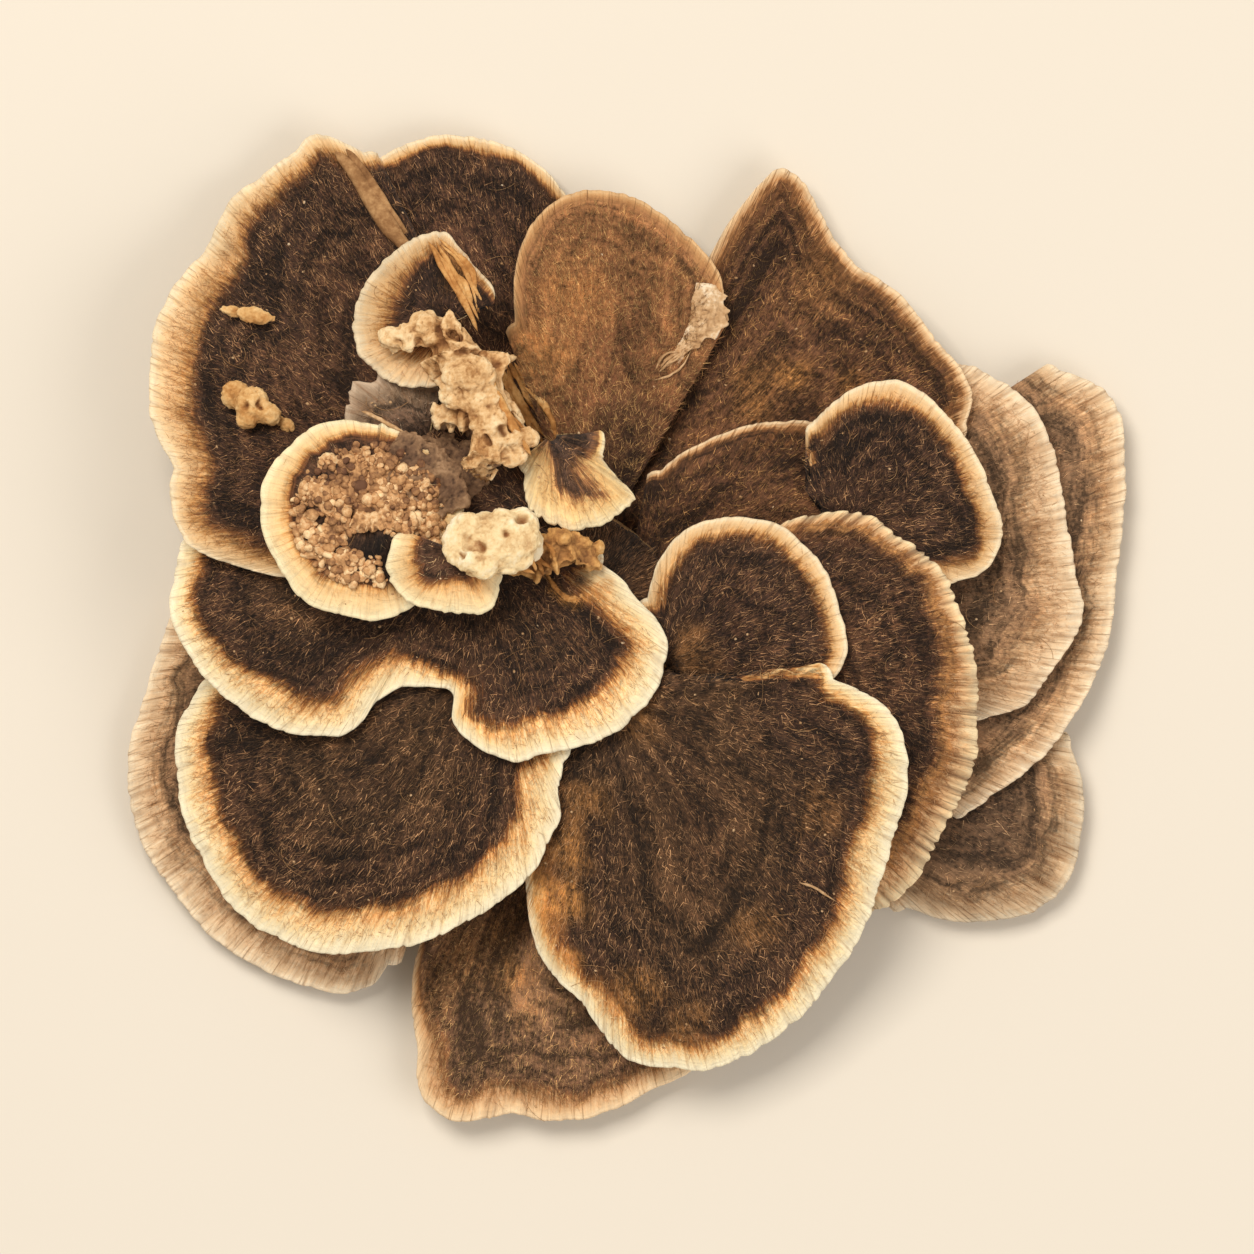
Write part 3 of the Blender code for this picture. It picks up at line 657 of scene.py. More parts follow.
# %% From sheet to mesh
def build_skin(name, sheet, upper_finish, under_finish):
    """The sheet as a closed mesh object, with its attributes."""
    closed = CAPS[name].closed
    n, m = sheet["x"].shape
    points = np.column_stack([sheet[k].ravel() for k in "xyz"]) * MM
    index = np.arange(n * m).reshape(n, m)
    nearer = index if closed else index[:-1]
    farther = np.roll(index, -1, axis=0) if closed else index[1:]
    quads = np.stack([nearer[:, :-1], nearer[:, 1:], farther[:, 1:], farther[:, :-1]], axis=-1)
    is_upper = np.broadcast_to(np.arange(m - 1) < sheet["upper"], quads.shape[:2]).ravel()
    faces = quads.reshape(-1, 4).tolist()
    faces += np.stack([nearer[:, -1], nearer[:, 0], farther[:, 0], farther[:, -1]],
                      axis=-1).tolist()
    slots = np.where(is_upper, 0, 1).tolist() + [0] * len(nearer)
    if not closed:
        faces += [index[0, ::-1].tolist(), index[-1].tolist()]
        slots += [0, 0]
    mesh = bpy.data.meshes.new(name + "_skin")
    mesh.from_pydata(points.tolist(), [], faces)
    mesh.materials.append(upper_finish)
    mesh.materials.append(under_finish)
    mesh.polygons.foreach_set("material_index", slots)
    mesh.shade_smooth()

    angle = sheet["angle"]
    rise = np.gradient(sheet["z"], axis=1) / np.maximum(
        np.abs(np.gradient(sheet["way"], axis=1)), 0.05)
    store(mesh, "fibre", np.stack([sheet["along"], sheet["way"],
                                   np.full((n, m), 3.7 * sheet["seed"])], axis=-1))
    store(mesh, "lay", np.stack([np.cos(angle), np.sin(angle), np.clip(rise, -1, 1)], axis=-1))
    for key in ("edge", "band", "groove", "worn", "dim"):
        store(mesh, key, sheet[key])
    return put(name + "_skin", mesh)


# %% [markdown]
# ## The velvet finish
# The upper side of turkey tail is matted hair. It hardly shines, and what it gives the eye is
# fine streaks along the fibres, and bands: a pale growing margin, an amber band, and a dark
# inside with faint further zones. So one ramp of colours is read with the band number, after
# that number has been ruffled along the fibres. Thin cracks cross the pale margin, and painted
# shade darkens them, the furrows and some patches, while a painted highlight lines the rim.

# %% The bands of each finish
# At band 0 each ramp starts paler than the margin's own cream: a painted highlight along the rim,
# which also brightens margins that slope away from the lamp
BANDS = {
    "dark": "0 #FFF4D4 0.035 #FFEDC4 0.09 #FFE4B0 0.13 #FAD094 0.165 #E2AA68 0.2 #A86C36 "
        "0.235 #643E25 0.28 #3D281C 0.42 #34231A 0.62 #44301F 1 #3F2A1E",
    "gold": "0 #FCE8C4 0.035 #F5D2A2 0.11 #E6B880 0.15 #C38D52 0.19 #8A5932 0.235 #543522 "
        "0.28 #38261C 0.42 #33221A 0.62 #432C20 1 #3E2A1F",
    "ribbed": "0 #FFE6BA 0.04 #F5CE9C 0.09 #E6B684 0.13 #AC7645 0.17 #CE965C 0.23 #7C5131 "
        "0.29 #432C1F 0.42 #38251B 0.62 #4A3122 1 #4A3122",
    "brown": "0 #FBDDB4 0.04 #EDC596 0.11 #D2A070 0.15 #A87648 0.19 #7E5432 0.25 #5C3C26 "
        "0.33 #4A3020 0.45 #533625 0.62 #60402B 1 #5E3F2B",
    "tan": "0 #FDE8C8 0.035 #F2D4AE 0.09 #E4C098 0.15 #D2AC84 0.19 #BA926A 0.26 #9C7858 "
        "0.33 #82644A 0.42 #6E543E 0.62 #684F3B 1 #6A503D",
    # warm is the brown finish painted lighter for cap_bottom: painted light where the brackets
    # above shade it
    "warm": "0 #FBDDB4 0.04 #F0CA9C 0.11 #D8A878 0.15 #B07E50 0.19 #8E603C 0.25 #70503A "
        "0.33 #70523C 0.45 #7E5E46 0.62 #8E6C50 1 #84644A",
    "buff": "0 #E6BC8A 0.04 #D4A470 0.1 #C4905E 0.15 #B68456 0.19 #AC7A50 0.26 #A4734C "
        "0.33 #9C6C46 0.42 #926440 0.62 #825638 1 #5A3C2C",
    "grey": "0 #D2BAA0 0.04 #B29A82 0.1 #9C846C 0.15 #8C745E 0.19 #7E6852 0.26 #725C4A "
        "0.33 #665040 0.42 #5C4638 0.62 #4C3A2E 1 #4C3A2E",
    "pale": "0 #FFF0C6 0.04 #FFE2AE 0.11 #F5CB90 0.155 #D9A262 0.19 #A26A3A 0.235 #6A4228 "
        "0.31 #4A3326 0.42 #453024 0.62 #58432F 1 #6E5642",
    "streaked": "0 #FFEEC4 0.05 #FFDFA4 0.13 #F5CA88 0.17 #D29C62 0.2 #966640 0.25 #5E4230 "
        "0.33 #43322A 1 #3C2C24",
}
# The band number at the end of a ramp, how strongly the bands are ruffled along the fibres, how
# dark the painted shade in furrows and cracks is and its colour, how strong the inner zones are,
# and the colour of the hairs that stand out
BANDS_READ = 6.0
RUFFLES = {"tan": 1.7, "ribbed": 1.3, "brown": 1.4, "warm": 1.1, "pale": 0.7}
FURROW_SHADES = {"ribbed": 0.9, "tan": 0.6, "pale": 0.3, "dark": 0.36, "gold": 0.35,
                "streaked": 0.4}
CRACK_SHADES = {"pale": 0.3, "grey": 0.5, "dark": 0.4, "gold": 0.4, "tan": 0.55, "warm": 0.5,
               "streaked": 0.35}
CREASE_SHADE_COLOURS = {"ribbed": "#6E4528"}
ZONE_STRENGTHS = {"buff": 2.4}
HAIR_COLOURS = {"buff": "#D6AA6E", "tan": "#C8A27A", "grey": "#C4AA90", "pale": "#DCB888",
                "brown": "#C4955E", "warm": "#DCB078"}


def velvet(finish):
    """Matted hair over leathery tissue: dull, streaked along its fibres, banded by its age."""
    material, tree, shader, new = new_material("velvet_" + finish)
    fibre = new("Attribute", attribute_name="fibre").outputs["Vector"]
    band, groove, worn, dim, hair = (
        new("Attribute", attribute_name=key).outputs["Fac"]
        for key in ("band", "groove", "worn", "dim", "hair"))
    place = new("TexCoord").outputs["Object"]

    # Streaks 0.35 mm wide and some 4 mm long, and single fibres 0.12 mm wide
    streak_space = new("VectorMath", {0: fibre, 1: (2.8, 0.25, 1.0)}, operation="MULTIPLY")
    streaks = new("TexNoise", {"Vector": streak_space, "Scale": 1.0, "Detail": 3.0,
                               "Roughness": 0.6})
    hair_space = new("VectorMath", {0: fibre, 1: (8.0, 0.9, 1.0)}, operation="MULTIPLY")
    hairs = new("TexNoise", {"Vector": hair_space, "Scale": 1.0, "Detail": 2.0,
                             "Roughness": 0.65})
    # Blotches about 3 mm across and clumps of 0.4 mm, in metres as Object coordinates are
    blotches = new("TexNoise", {"Vector": place, "Scale": 330.0, "Detail": 3.0})
    grains = new("TexNoise", {"Vector": place, "Scale": 2400.0, "Detail": 3.0,
                              "Roughness": 0.7})

    # The band number is ruffled along the fibres, but not in the pale rim, before it is read
    total = None
    for source, much in ((streaks, 1.1), (hairs, 1.5), (blotches, 0.8), (grains, 0.5)):
        much *= RUFFLES.get(finish, 1.0)
        ruffle = new("Math", {0: source, 1: much, 2: -0.5 * much}, operation="MULTIPLY_ADD")
        total = new("Math", {0: total, 1: ruffle}, operation="ADD") if total is not None else ruffle
    inner = new("MapRange", {"Value": band, "From Min": 0.1, "From Max": 1.1, "To Min": 0.25,
                             "To Max": 1.0})
    total = new("Math", {0: total, 1: inner, 2: band}, operation="MULTIPLY_ADD")
    read = new("Math", {0: total, 1: BANDS_READ}, operation="DIVIDE")
    bands = new("ValToRGB", {"Fac": read}, stops=BANDS[finish])

    # Single paler hairs show where the velvet is dark, and tufts of 1 mm are lighter or darker
    dark_part = new("MapRange", {"Value": band, "From Min": 1.3, "From Max": 2.4})
    hair_lines = new("MapRange", {"Value": hairs, "From Min": 0.5, "From Max": 0.7})
    tufts = new("MapRange", {"Value": blotches, "From Min": 0.3, "From Max": 0.7,
                             "To Min": 0.25, "To Max": 1.0})
    glint = dark_part
    for factor in (hair_lines, tufts, 0.6):
        glint = new("Math", {0: glint, 1: factor}, operation="MULTIPLY")
    lit = new("Mix", {"Factor": glint, 6: bands, 7: linear("#8A6040")}, data_type="RGBA")

    # Cracks about 0.08 mm wide run along the fibres through the pale margin, with painted shade in
    # them
    crack_space = new("VectorMath", {0: fibre, 1: (1.5, 0.16, 1.0)}, operation="MULTIPLY")
    cracks = new("TexVoronoi", {"Vector": crack_space, "Scale": 1.0},
                 feature="DISTANCE_TO_EDGE")
    crack_line = new("MapRange", {"Value": cracks, "From Min": 0.01, "From Max": 0.09,
                                  "To Min": CRACK_SHADES.get(finish, 0.7), "To Max": 0.0})
    pale_part = new("MapRange", {"Value": band, "From Min": 1.0, "From Max": 1.9,
                                 "To Min": 1.0, "To Max": 0.0})
    patchy = new("MapRange", {"Value": streaks, "From Min": 0.42, "From Max": 0.62})
    cracked = crack_line
    for factor in (pale_part, patchy):
        cracked = new("Math", {0: cracked, 1: factor}, operation="MULTIPLY")
    # Painted shade in the furrows and the cracks
    furrow_shade = new("Math", {0: groove, 1: FURROW_SHADES.get(finish, 0.45)},
                   operation="MULTIPLY")
    deep = new("Math", {0: cracked, 1: furrow_shade}, operation="MAXIMUM")

    # Rubbed patches show golden tissue between the hairs that are left, and painted shade darkens
    # other patches
    rub_edge = new("Math", {0: hairs, 1: 2.4, 2: -0.7}, operation="MULTIPLY_ADD")
    rub = new("Math", {0: worn, 1: rub_edge}, operation="MULTIPLY", use_clamp=True)
    painted = lit
    for factor, colour in ((deep, CREASE_SHADE_COLOURS.get(finish, "#8E5C30")), (rub, "#C58A4A"),
                           (dim, "#241914"), (hair, HAIR_COLOURS.get(finish, "#BC9066"))):
        painted = new("Mix", {"Factor": factor, 6: painted, 7: linear(colour)},
                      data_type="RGBA")

    # Clumps and faint zones that follow the margin lighten and darken the velvet
    zone_space = new("CombineXYZ", {"Y": band})
    zone_space = new("VectorMath", {0: fibre, 1: (0.06, 0.0, 1.0), 2: zone_space},
                     operation="MULTIPLY_ADD")
    zones = new("TexNoise", {"Vector": zone_space, "Scale": 2.6, "Detail": 3.0,
                             "Roughness": 0.7})
    shade = new("Math", {0: zones, 1: 1.5, 2: grains}, operation="MULTIPLY_ADD")
    shade = new("Math", {0: hairs, 1: 0.6, 2: shade}, operation="MULTIPLY_ADD")
    strong = new("MapRange", {"Value": band, "From Min": 0.6, "From Max": 1.8,
                              "To Min": 0.35, "To Max": ZONE_STRENGTHS.get(finish, 3.6)})
    swing = new("Math", {0: shade, 1: -1.55}, operation="ADD")
    swing = new("Math", {0: swing, 1: strong, 2: 1.0}, operation="MULTIPLY_ADD")
    swing = new("Clamp", {"Value": swing, "Min": 0.35, "Max": 2.1})
    grained = new("VectorMath", {0: painted, "Scale": swing}, operation="SCALE")

    relief = new("Math", {0: shade, 1: streaks}, operation="ADD")
    relief = new("Math", {0: relief, 1: cracked}, operation="SUBTRACT")
    bump = new("Bump", {"Height": relief, "Strength": 0.8, "Distance": 0.00014})
    fill(tree, shader, {"Base Color": grained, "Normal": bump, "Roughness": 0.85,
                        "Specular IOR Level": 0.3, "Sheen Weight": 0.06,
                        "Sheen Roughness": 0.5})
    return material


# %% [markdown]
# ## The pore layer
# Underneath, turkey tail has no gills but a pale layer of tubes, three to five in a millimetre,
# whose mouths look like pinpricks. A cell pattern of that size, with painted shade in the middle
# of each cell and pressed in there, gives it.

# %% Pores
def pore_layer():
    """The cream underside with its fine round pores, 0.28 mm apart."""
    material, tree, shader, new = new_material("cream_pore_layer")
    place = new("TexCoord").outputs["Object"]
    cells = new("TexVoronoi", {"Vector": place, "Scale": 1 / 0.00028})
    stain = new("TexNoise", {"Vector": place, "Scale": 260.0, "Detail": 4.0})
    ground = new("ValToRGB", {"Fac": stain}, stops="0.3 #C9A876 0.55 #E2C795 0.75 #F0DBB2")
    # Painted shade in the pore mouths
    mouths = new("MapRange", {"Value": cells, "From Min": 0.15, "From Max": 0.4})
    coloured = new("Mix", {"Factor": mouths, 6: linear("#8F6F45"), 7: ground},
                   data_type="RGBA")
    bump = new("Bump", {"Height": mouths, "Strength": 0.5, "Distance": 0.0001})
    fill(tree, shader, {"Base Color": coloured, "Normal": bump, "Roughness": 0.85,
                        "Specular IOR Level": 0.3})
    return material


finishes = {finish: velvet(finish) for finish in BANDS}
pores = pore_layer()

# %% Grow all brackets
SLOTS = {n["node"]: n["material_slot"] for n in frame["record"]["subparts"]}
skins = {}
for number, name in enumerate(CAPS):
    sheet = grow_skin(name, 11 + number)
    skins[name] = build_skin(name, sheet, finishes[CAPS[name].finish], pores)
print("skins:", sum(len(skin.data.polygons) for skin in skins.values()), "faces")

# %% [markdown]
# ## The velvet itself
# A flat streaky colour looks painted from close by. Real hairs catch the light one by one, so
# each upper side gets short stiff ones, lying outwards along the fibres. Geometry Nodes scatter
# points over the skin, as thick as a stored weight says, and stand a slim spike on each. None
# grow where another bracket covers the skin, and none on the outermost margin, which is bald.

# %% Which parts of the skin are open
BALD_MARGIN = 1.1
FACES_UP = 0.35
CLEARANCE = 0.45 * MM


def all_points(mesh):
    """A mesh's points as rows, in metres."""
    co = np.empty(len(mesh.vertices) * 3, np.float32)
    mesh.vertices.foreach_get("co", co)
    return co.reshape(-1, 3)


def normals_of(mesh):
    """A mesh's vertex normals as rows."""
    normals = np.empty(len(mesh.vertices) * 3, np.float32)
    mesh.vertex_normals.foreach_get("vector", normals)
    return normals.reshape(-1, 3)


def roof_of(nodes):
    """What the given solids cover, ready for rays to be cast at it."""
    points, faces = [], []
    for node in nodes:
        offset = len(points)
        points += [v.co.copy() for v in node.data.vertices]
        faces += [[offset + i for i in p.vertices] for p in node.data.polygons]
    return BVHTree.FromPolygons(points, faces)


def open_weight(mesh, bald=0):
    """Keep nap: 1 where the skin faces up to the open air, 0 at its margin and where covered."""
    co = all_points(mesh)
    weight = np.zeros(len(co), np.float32)
    up = Vector((0, 0, 1))
    for i in np.flatnonzero(normals_of(mesh)[:, 2] > FACES_UP):
        if roof.ray_cast(Vector(co[i]) + CLEARANCE * up, up)[0] is None:
            weight[i] = 1
    if bald:
        edge = np.empty(len(co), np.float32)
        mesh.attributes["edge"].data.foreach_get("value", edge)
        weight *= step(edge, 0.5 * bald, 1.6 * bald)
    store(mesh, "nap", weight)


roof = roof_of(frame["nodes"].values())
for name in CAPS:
    open_weight(skins[name].data, BALD_MARGIN)

# %% Trees that scatter things over a skin
SPIKE_SIDES = 3


def scatter_over_skin(name, sizes):
    """A new tree with named inputs that scatters points as thick as nap says."""
    tree = bpy.data.node_groups.new(name, "GeometryNodeTree")
    for label, kind in (("Skin", "Geometry"), *((size, "Float") for size in sizes),
                        ("Seed", "Int"), ("Finish", "Material")):
        socket = tree.interface.new_socket(label, in_out="INPUT", socket_type="NodeSocket" + kind)
        if label in sizes:
            socket.default_value = sizes[label]
    tree.interface.new_socket("Grown", in_out="OUTPUT", socket_type="NodeSocketGeometry")
    new = partial(add, tree)
    given = new("NodeGroupInput").outputs
    nap = new("InputNamedAttribute", {"Name": "nap"}, data_type="FLOAT")
    density = new("Math", {0: given["Each square metre"], 1: nap}, operation="MULTIPLY")
    points = new("DistributePointsOnFaces", {"Mesh": given["Skin"], "Density": density,
                                             "Seed": given["Seed"]}).outputs
    return tree, new, given, points


def finish_tree(new, given, instances):
    """Instances made real, because the export drops instances, and given their finish."""
    real = new("RealizeInstances", {0: instances})
    painted = new("SetMaterial", {"Geometry": real, "Material": given["Finish"]})
    new("NodeGroupOutput", {0: painted})


def hair_tree():
    """Geometry Nodes that stand a slim spike on every scattered point."""
    tree, new, given, points = scatter_over_skin("velvet_hairs", {
        "Each square metre": 1e7, "Length": 0.6 * MM, "Radius": 0.025 * MM, "Lift": 0.35,
        "Swerve": 0.4, "Pallor": 0.7})
    spike = new("MeshCone", {"Vertices": SPIKE_SIDES, "Radius Top": 0.0,
                             "Radius Bottom": given["Radius"], "Depth": given["Length"]},
                fill_type="NONE")
    aside = new("RandomValue", {0: (-1, -1, -0.2), 1: (1, 1, 0.8), "Seed": given["Seed"]},
                data_type="FLOAT_VECTOR")
    unruly = new("RandomValue", {2: 0.3, 3: 1.6, "Seed": 3}, data_type="FLOAT")
    swerve = new("Math", {0: given["Swerve"], 1: unruly}, operation="MULTIPLY")
    aside = new("VectorMath", {0: aside, "Scale": swerve}, operation="SCALE")
    lifted = new("VectorMath", {0: points["Normal"], "Scale": given["Lift"]}, operation="SCALE")
    way = new("InputNamedAttribute", {"Name": "lay"}, data_type="FLOAT_VECTOR")
    for lean in (lifted, aside):
        way = new("VectorMath", {0: way, 1: lean}, operation="ADD")
    turn = new("AlignRotationToVector", {"Vector": way}, axis="Z")
    size = new("RandomValue", {2: 0.45, 3: 1.35, "Seed": 5}, data_type="FLOAT")
    stand = new("InstanceOnPoints", {"Points": points["Points"], "Instance": spike,
                                     "Rotation": turn, "Scale": size})
    tone = new("RandomValue", {2: 0.0, 3: 1.0, "Seed": 9}, data_type="FLOAT")
    sharper = new("Math", {0: tone, 1: 3.0}, operation="POWER")
    paler = new("Math", {0: sharper, 1: given["Pallor"]}, operation="MULTIPLY")
    keep = new("StoreNamedAttribute", {"Geometry": stand, "Name": "hair", "Value": paler},
               data_type="FLOAT", domain="INSTANCE")
    finish_tree(new, given, keep)
    return tree


# %% Hairs on every bracket
def baked(carrier, name):
    """What a carrier's modifiers make, as a plain mesh. The carrier goes."""
    depsgraph = bpy.context.evaluated_depsgraph_get()
    mesh = bpy.data.meshes.new_from_object(carrier.evaluated_get(depsgraph))
    bpy.data.objects.remove(carrier)
    mesh.name = name
    return mesh


def grown(name, skin, tree, values):
    """A new object with what the tree makes on the skin, as a plain mesh."""
    carrier = put(name + "_carrier", skin.data)
    modifier = carrier.modifiers.new("grow", "NODES")
    modifier.node_group = tree
    for socket in tree.interface.items_tree:
        if socket.in_out == "INPUT" and socket.name in values:
            modifier[socket.identifier] = values[socket.name]
    return put(name, baked(carrier, name))


velvet_hairs = hair_tree()
extras = []
for number, (name, cap) in enumerate(CAPS.items()):
    coat = grown(name + "_velvet", skins[name], velvet_hairs,
                 {"Each square metre": cap.nap * 1e6, "Length": 0.68 * MM,
                  "Radius": 0.029 * MM, "Lift": 0.25, "Swerve": 1.2, "Pallor": 1.1,
                  "Seed": number, "Finish": finishes[cap.finish]})
    extras.append((coat, SLOTS[name]))
print("hairs:", sum(len(coat.data.polygons) for coat, _ in extras) // SPIKE_SIDES)

# %% [markdown]
# ## Fused lumps
# Where a bracket was stunted it became a knobbly crust. Such a crust is a heap of rounded lumps
# that grew into one another. So lumps are set on a shrunken copy of the crust's solid, fused with
# it by a voxel remesh, and the fused skin is then wrinkled, and eaten out in a few places. How
# hollow each point lies is stored, for painted shade in its hollows and painted light on its
# crowns.

# %% Heaps of lumps
# Few rounds of smoothing bring out cracks, and many bring out broad hollows, in millimetres
CRACK_ROUNDS, HOLLOW_ROUNDS, HOLLOW_DEPTH = 24, 100, 0.45


def ground_height(tree, x, y, fallback=0.0):
    """The height of what lies under a place, in millimetres."""
    hit = tree.ray_cast(Vector((x * MM, y * MM, 0.1)), Vector((0, 0, -1)))[0]
    return hit.z / MM if hit else fallback


def heap(name, blobs, body=None, folds=(), shrink=0.3, voxel=0.145, fineness=2):
    """Lumps (x, y, z, three radii, turn in degrees), folded sheets and a solid, all fused."""
    bm = bmesh.new()
    if body:
        bm.from_mesh(body.data)
        bmesh.ops.remove_doubles(bm, verts=bm.verts, dist=1e-6)
        bmesh.ops.recalc_face_normals(bm, faces=bm.faces)
        bm.normal_update()
        for vert in bm.verts:
            vert.co -= vert.normal * shrink * MM
    for x, y, z, across, along, tall, turn in blobs:
        shape = (Matrix.Translation(Vector((x, y, z)) * MM)
                 @ Matrix.Rotation(math.radians(turn), 4, "Z")
                 @ Matrix.Diagonal((across * MM, along * MM, tall * MM, 1)))
        bmesh.ops.create_icosphere(bm, subdivisions=fineness, radius=1, matrix=shape)
    for corners, thick in folds:
        top = [bm.verts.new((x * MM, y * MM, z * MM)) for x, y, z in corners]
        under = [bm.verts.new((x * MM, y * MM, (z - thick) * MM)) for x, y, z in corners]
        bm.faces.new(top)
        bm.faces.new(under[::-1])
        for i in range(len(top)):
            j = (i + 1) % len(top)
            bm.faces.new((top[j], top[i], under[i], under[j]))
    carrier = put(name + "_raw", mesh_from(bm, name + "_raw"))
    fuse = carrier.modifiers.new("fuse", "REMESH")
    fuse.mode = "VOXEL"
    fuse.voxel_size = voxel * MM
    carrier.modifiers.new("soften", "SMOOTH").iterations = 2
    return baked(carrier, name)


def hollow(mesh, rounds, depth):
    """How far each point lies below its smoothed surroundings, from -1 to 1 at the given depth."""
    co = all_points(mesh).astype(float)
    ends = np.empty(len(mesh.edges) * 2, np.int32)
    mesh.edges.foreach_get("vertices", ends)
    a, b = ends.reshape(-1, 2).T
    count = np.maximum(np.bincount(np.concatenate([a, b]), minlength=len(co)), 1)[:, None]
    smooth = co.copy()
    for _ in range(rounds):
        total = np.zeros_like(co)
        np.add.at(total, a, smooth[b])
        np.add.at(total, b, smooth[a])
        smooth = 0.5 * smooth + 0.5 * total / count
    return np.clip(((smooth - co) * normals_of(mesh)).sum(axis=1) / (depth * MM), -1, 1)


def roughen(mesh, wrinkle, size, grain, shade_depth, seed, pits=()):
    """Wrinkle the skin and press pits (x, y, radius) into it, in millimetres.

    It also stores its hollows for painted shade and painted light: one as deep as the given depth
    is dark all over.
    """
    co = all_points(mesh) / MM
    lift = np.zeros(len(co))
    eaten = np.zeros(len(co))
    shift = Vector((7.1 * seed, 3.3 * seed, 1.7 * seed))
    for i, point in enumerate(co):
        p = Vector(point)
        bent = p + 0.5 * noise.noise_vector(p * 0.9 + shift)
        crease = 1 - abs(noise.noise(bent * 1.5 + shift)) * 5
        near = noise.voronoi((bent + shift) / size)[0]
        fold = math.exp(-((near[1] - near[0]) / 0.13) ** 2)
        for x, y, radius in pits:
            away = math.hypot(bent.x - x, bent.y - y) / radius
            eaten[i] = max(eaten[i], math.exp(-away ** 4))
        lift[i] = (-wrinkle * (max(0, crease) ** 2 + 1.3 * fold) - 0.55 * eaten[i]
                   + grain * noise.noise(p * 4.2) + 1.6 * grain * noise.noise(p * 1.9 + shift))
    co = (co + normals_of(mesh) * lift[:, None]) * MM
    mesh.vertices.foreach_set("co", co.astype(np.float32).ravel())
    mesh.update()
    # Painted shade: cracks, hollows and pits are stored to be darkened, and broad hollows to darken
    # and crowns to lighten
    store(mesh, "deep", np.maximum(hollow(mesh, CRACK_ROUNDS, shade_depth), 0.85 * eaten))
    store(mesh, "shade", hollow(mesh, HOLLOW_ROUNDS, HOLLOW_DEPTH))
    mesh.shade_smooth()


# %% [markdown]
# The crusts are dull and chalky: cream and stained tan, with painted light on their crowns and
# painted shade where they are cracked or eaten out. The same finish with other colours serves all
# torn tissue, the loose crumbs and strands, and the corky base.

# %% The chalky finishes: their name, ramp, colour of the painted shade in hollows, and grain in mm
CHALKS = {
    "chalky_cream": ("chalky_cream_crust", "0 #B4845A 0.3 #DEBA88 0.6 #F4D9A8 1 #FFF0D0",
        "#845530"),
    "chalky_peach": ("chalky_peach_crust", "0 #8E6038 0.3 #BA8A58 0.6 #E2B884 1 #F8DEB2",
        "#6A4226"),
    "torn_brown": ("torn_root_tissue", "0 #7E5634 0.4 #B2804C 0.7 #D4A060 1 #E8BE84",
        "#4E3220"),
    "dusty_tan": ("dusty_crumb", "0 #9A6535 0.4 #C48D52 0.7 #DDAE72 1 #EFCB94",
        "#6B4426"),
    "granular": ("granular_brown_crust", "0 #6E4C38 0.3 #A27650 0.6 #D2A06E 1 #FFE0B0",
        "#553828"),
    "felt": ("grey_brown_felt", "0 #4C382A 0.4 #705440 0.7 #8C6C50 1 #AA8868",
        "#3A2A22"),
    "corky": ("corky_cut_tissue", "0 #7E5A38 0.4 #A67E52 0.7 #C9A271 1 #DDBD8E",
        "#4A3220", 0.4),
    "rolled": ("rolled_brown_edge", "0 #6E4A2C 0.4 #9A7048 0.7 #BD9264 1 #D3AC7C",
        "#4A3220", 0.35),
    "golden": ("golden_torn_fibre", "0 #8A5A2E 0.4 #B98046 0.7 #D9A566 1 #EBC48C",
        "#5A3A20", 0.3),
    "whitish": ("whitish_torn_fibre", "0 #946E4C 0.4 #BA9268 0.7 #DAB68C 1 #F6E4C8",
        "#6E5640", 0.3),
    "strand_hair": ("loose_golden_hair", "0 #7A5636 0.5 #B08558 1 #DDB888",
        "#7A5636", 0.8),
}


def chalk(name, stops, hollow_shade_colour, grain_mm=0.25):
    """Dull granular tissue stained in blotches, with painted shade in hollows and painted light on
    crowns.
    """
    material, tree, shader, new = new_material(name)
    place = new("TexCoord").outputs["Object"]
    deep, shade = (new("Attribute", attribute_name=key).outputs["Fac"]
                   for key in ("deep", "shade"))
    stain = new("TexNoise", {"Vector": place, "Scale": 420.0, "Detail": 4.0,
                             "Roughness": 0.65})
    grain = new("TexNoise", {"Vector": place, "Scale": 1 / (grain_mm * MM), "Detail": 2.0})
    mixed = new("Math", {0: grain, 1: 0.35, 2: stain}, operation="MULTIPLY_ADD")
    # Painted light on the crowns and painted shade in the broad hollows
    mixed = new("Math", {0: shade, 1: -0.22, 2: mixed}, operation="MULTIPLY_ADD")
    shown = new("MapRange", {"Value": mixed, "From Min": 0.4, "From Max": 0.95})
    ground = new("ValToRGB", {"Fac": shown}, stops=stops)
    # Painted shade in cracks, pits and hollows, and on the lower part of each crumb
    shaded_hollows = new("Math", {0: deep, 1: 0.9}, operation="MULTIPLY", use_clamp=True)
    coloured = new("Mix", {"Factor": shaded_hollows, 6: ground, 7: linear(hollow_shade_colour)},
                   data_type="RGBA")
    bump = new("Bump", {"Height": grain, "Strength": 0.6, "Distance": 0.00012})
    fill(tree, shader, {"Base Color": coloured, "Normal": bump, "Roughness": 0.9,
                        "Specular IOR Level": 0.25})
    return material


chalks = {key: chalk(*row) for key, row in CHALKS.items()}
print(len(chalks), "chalky finishes")

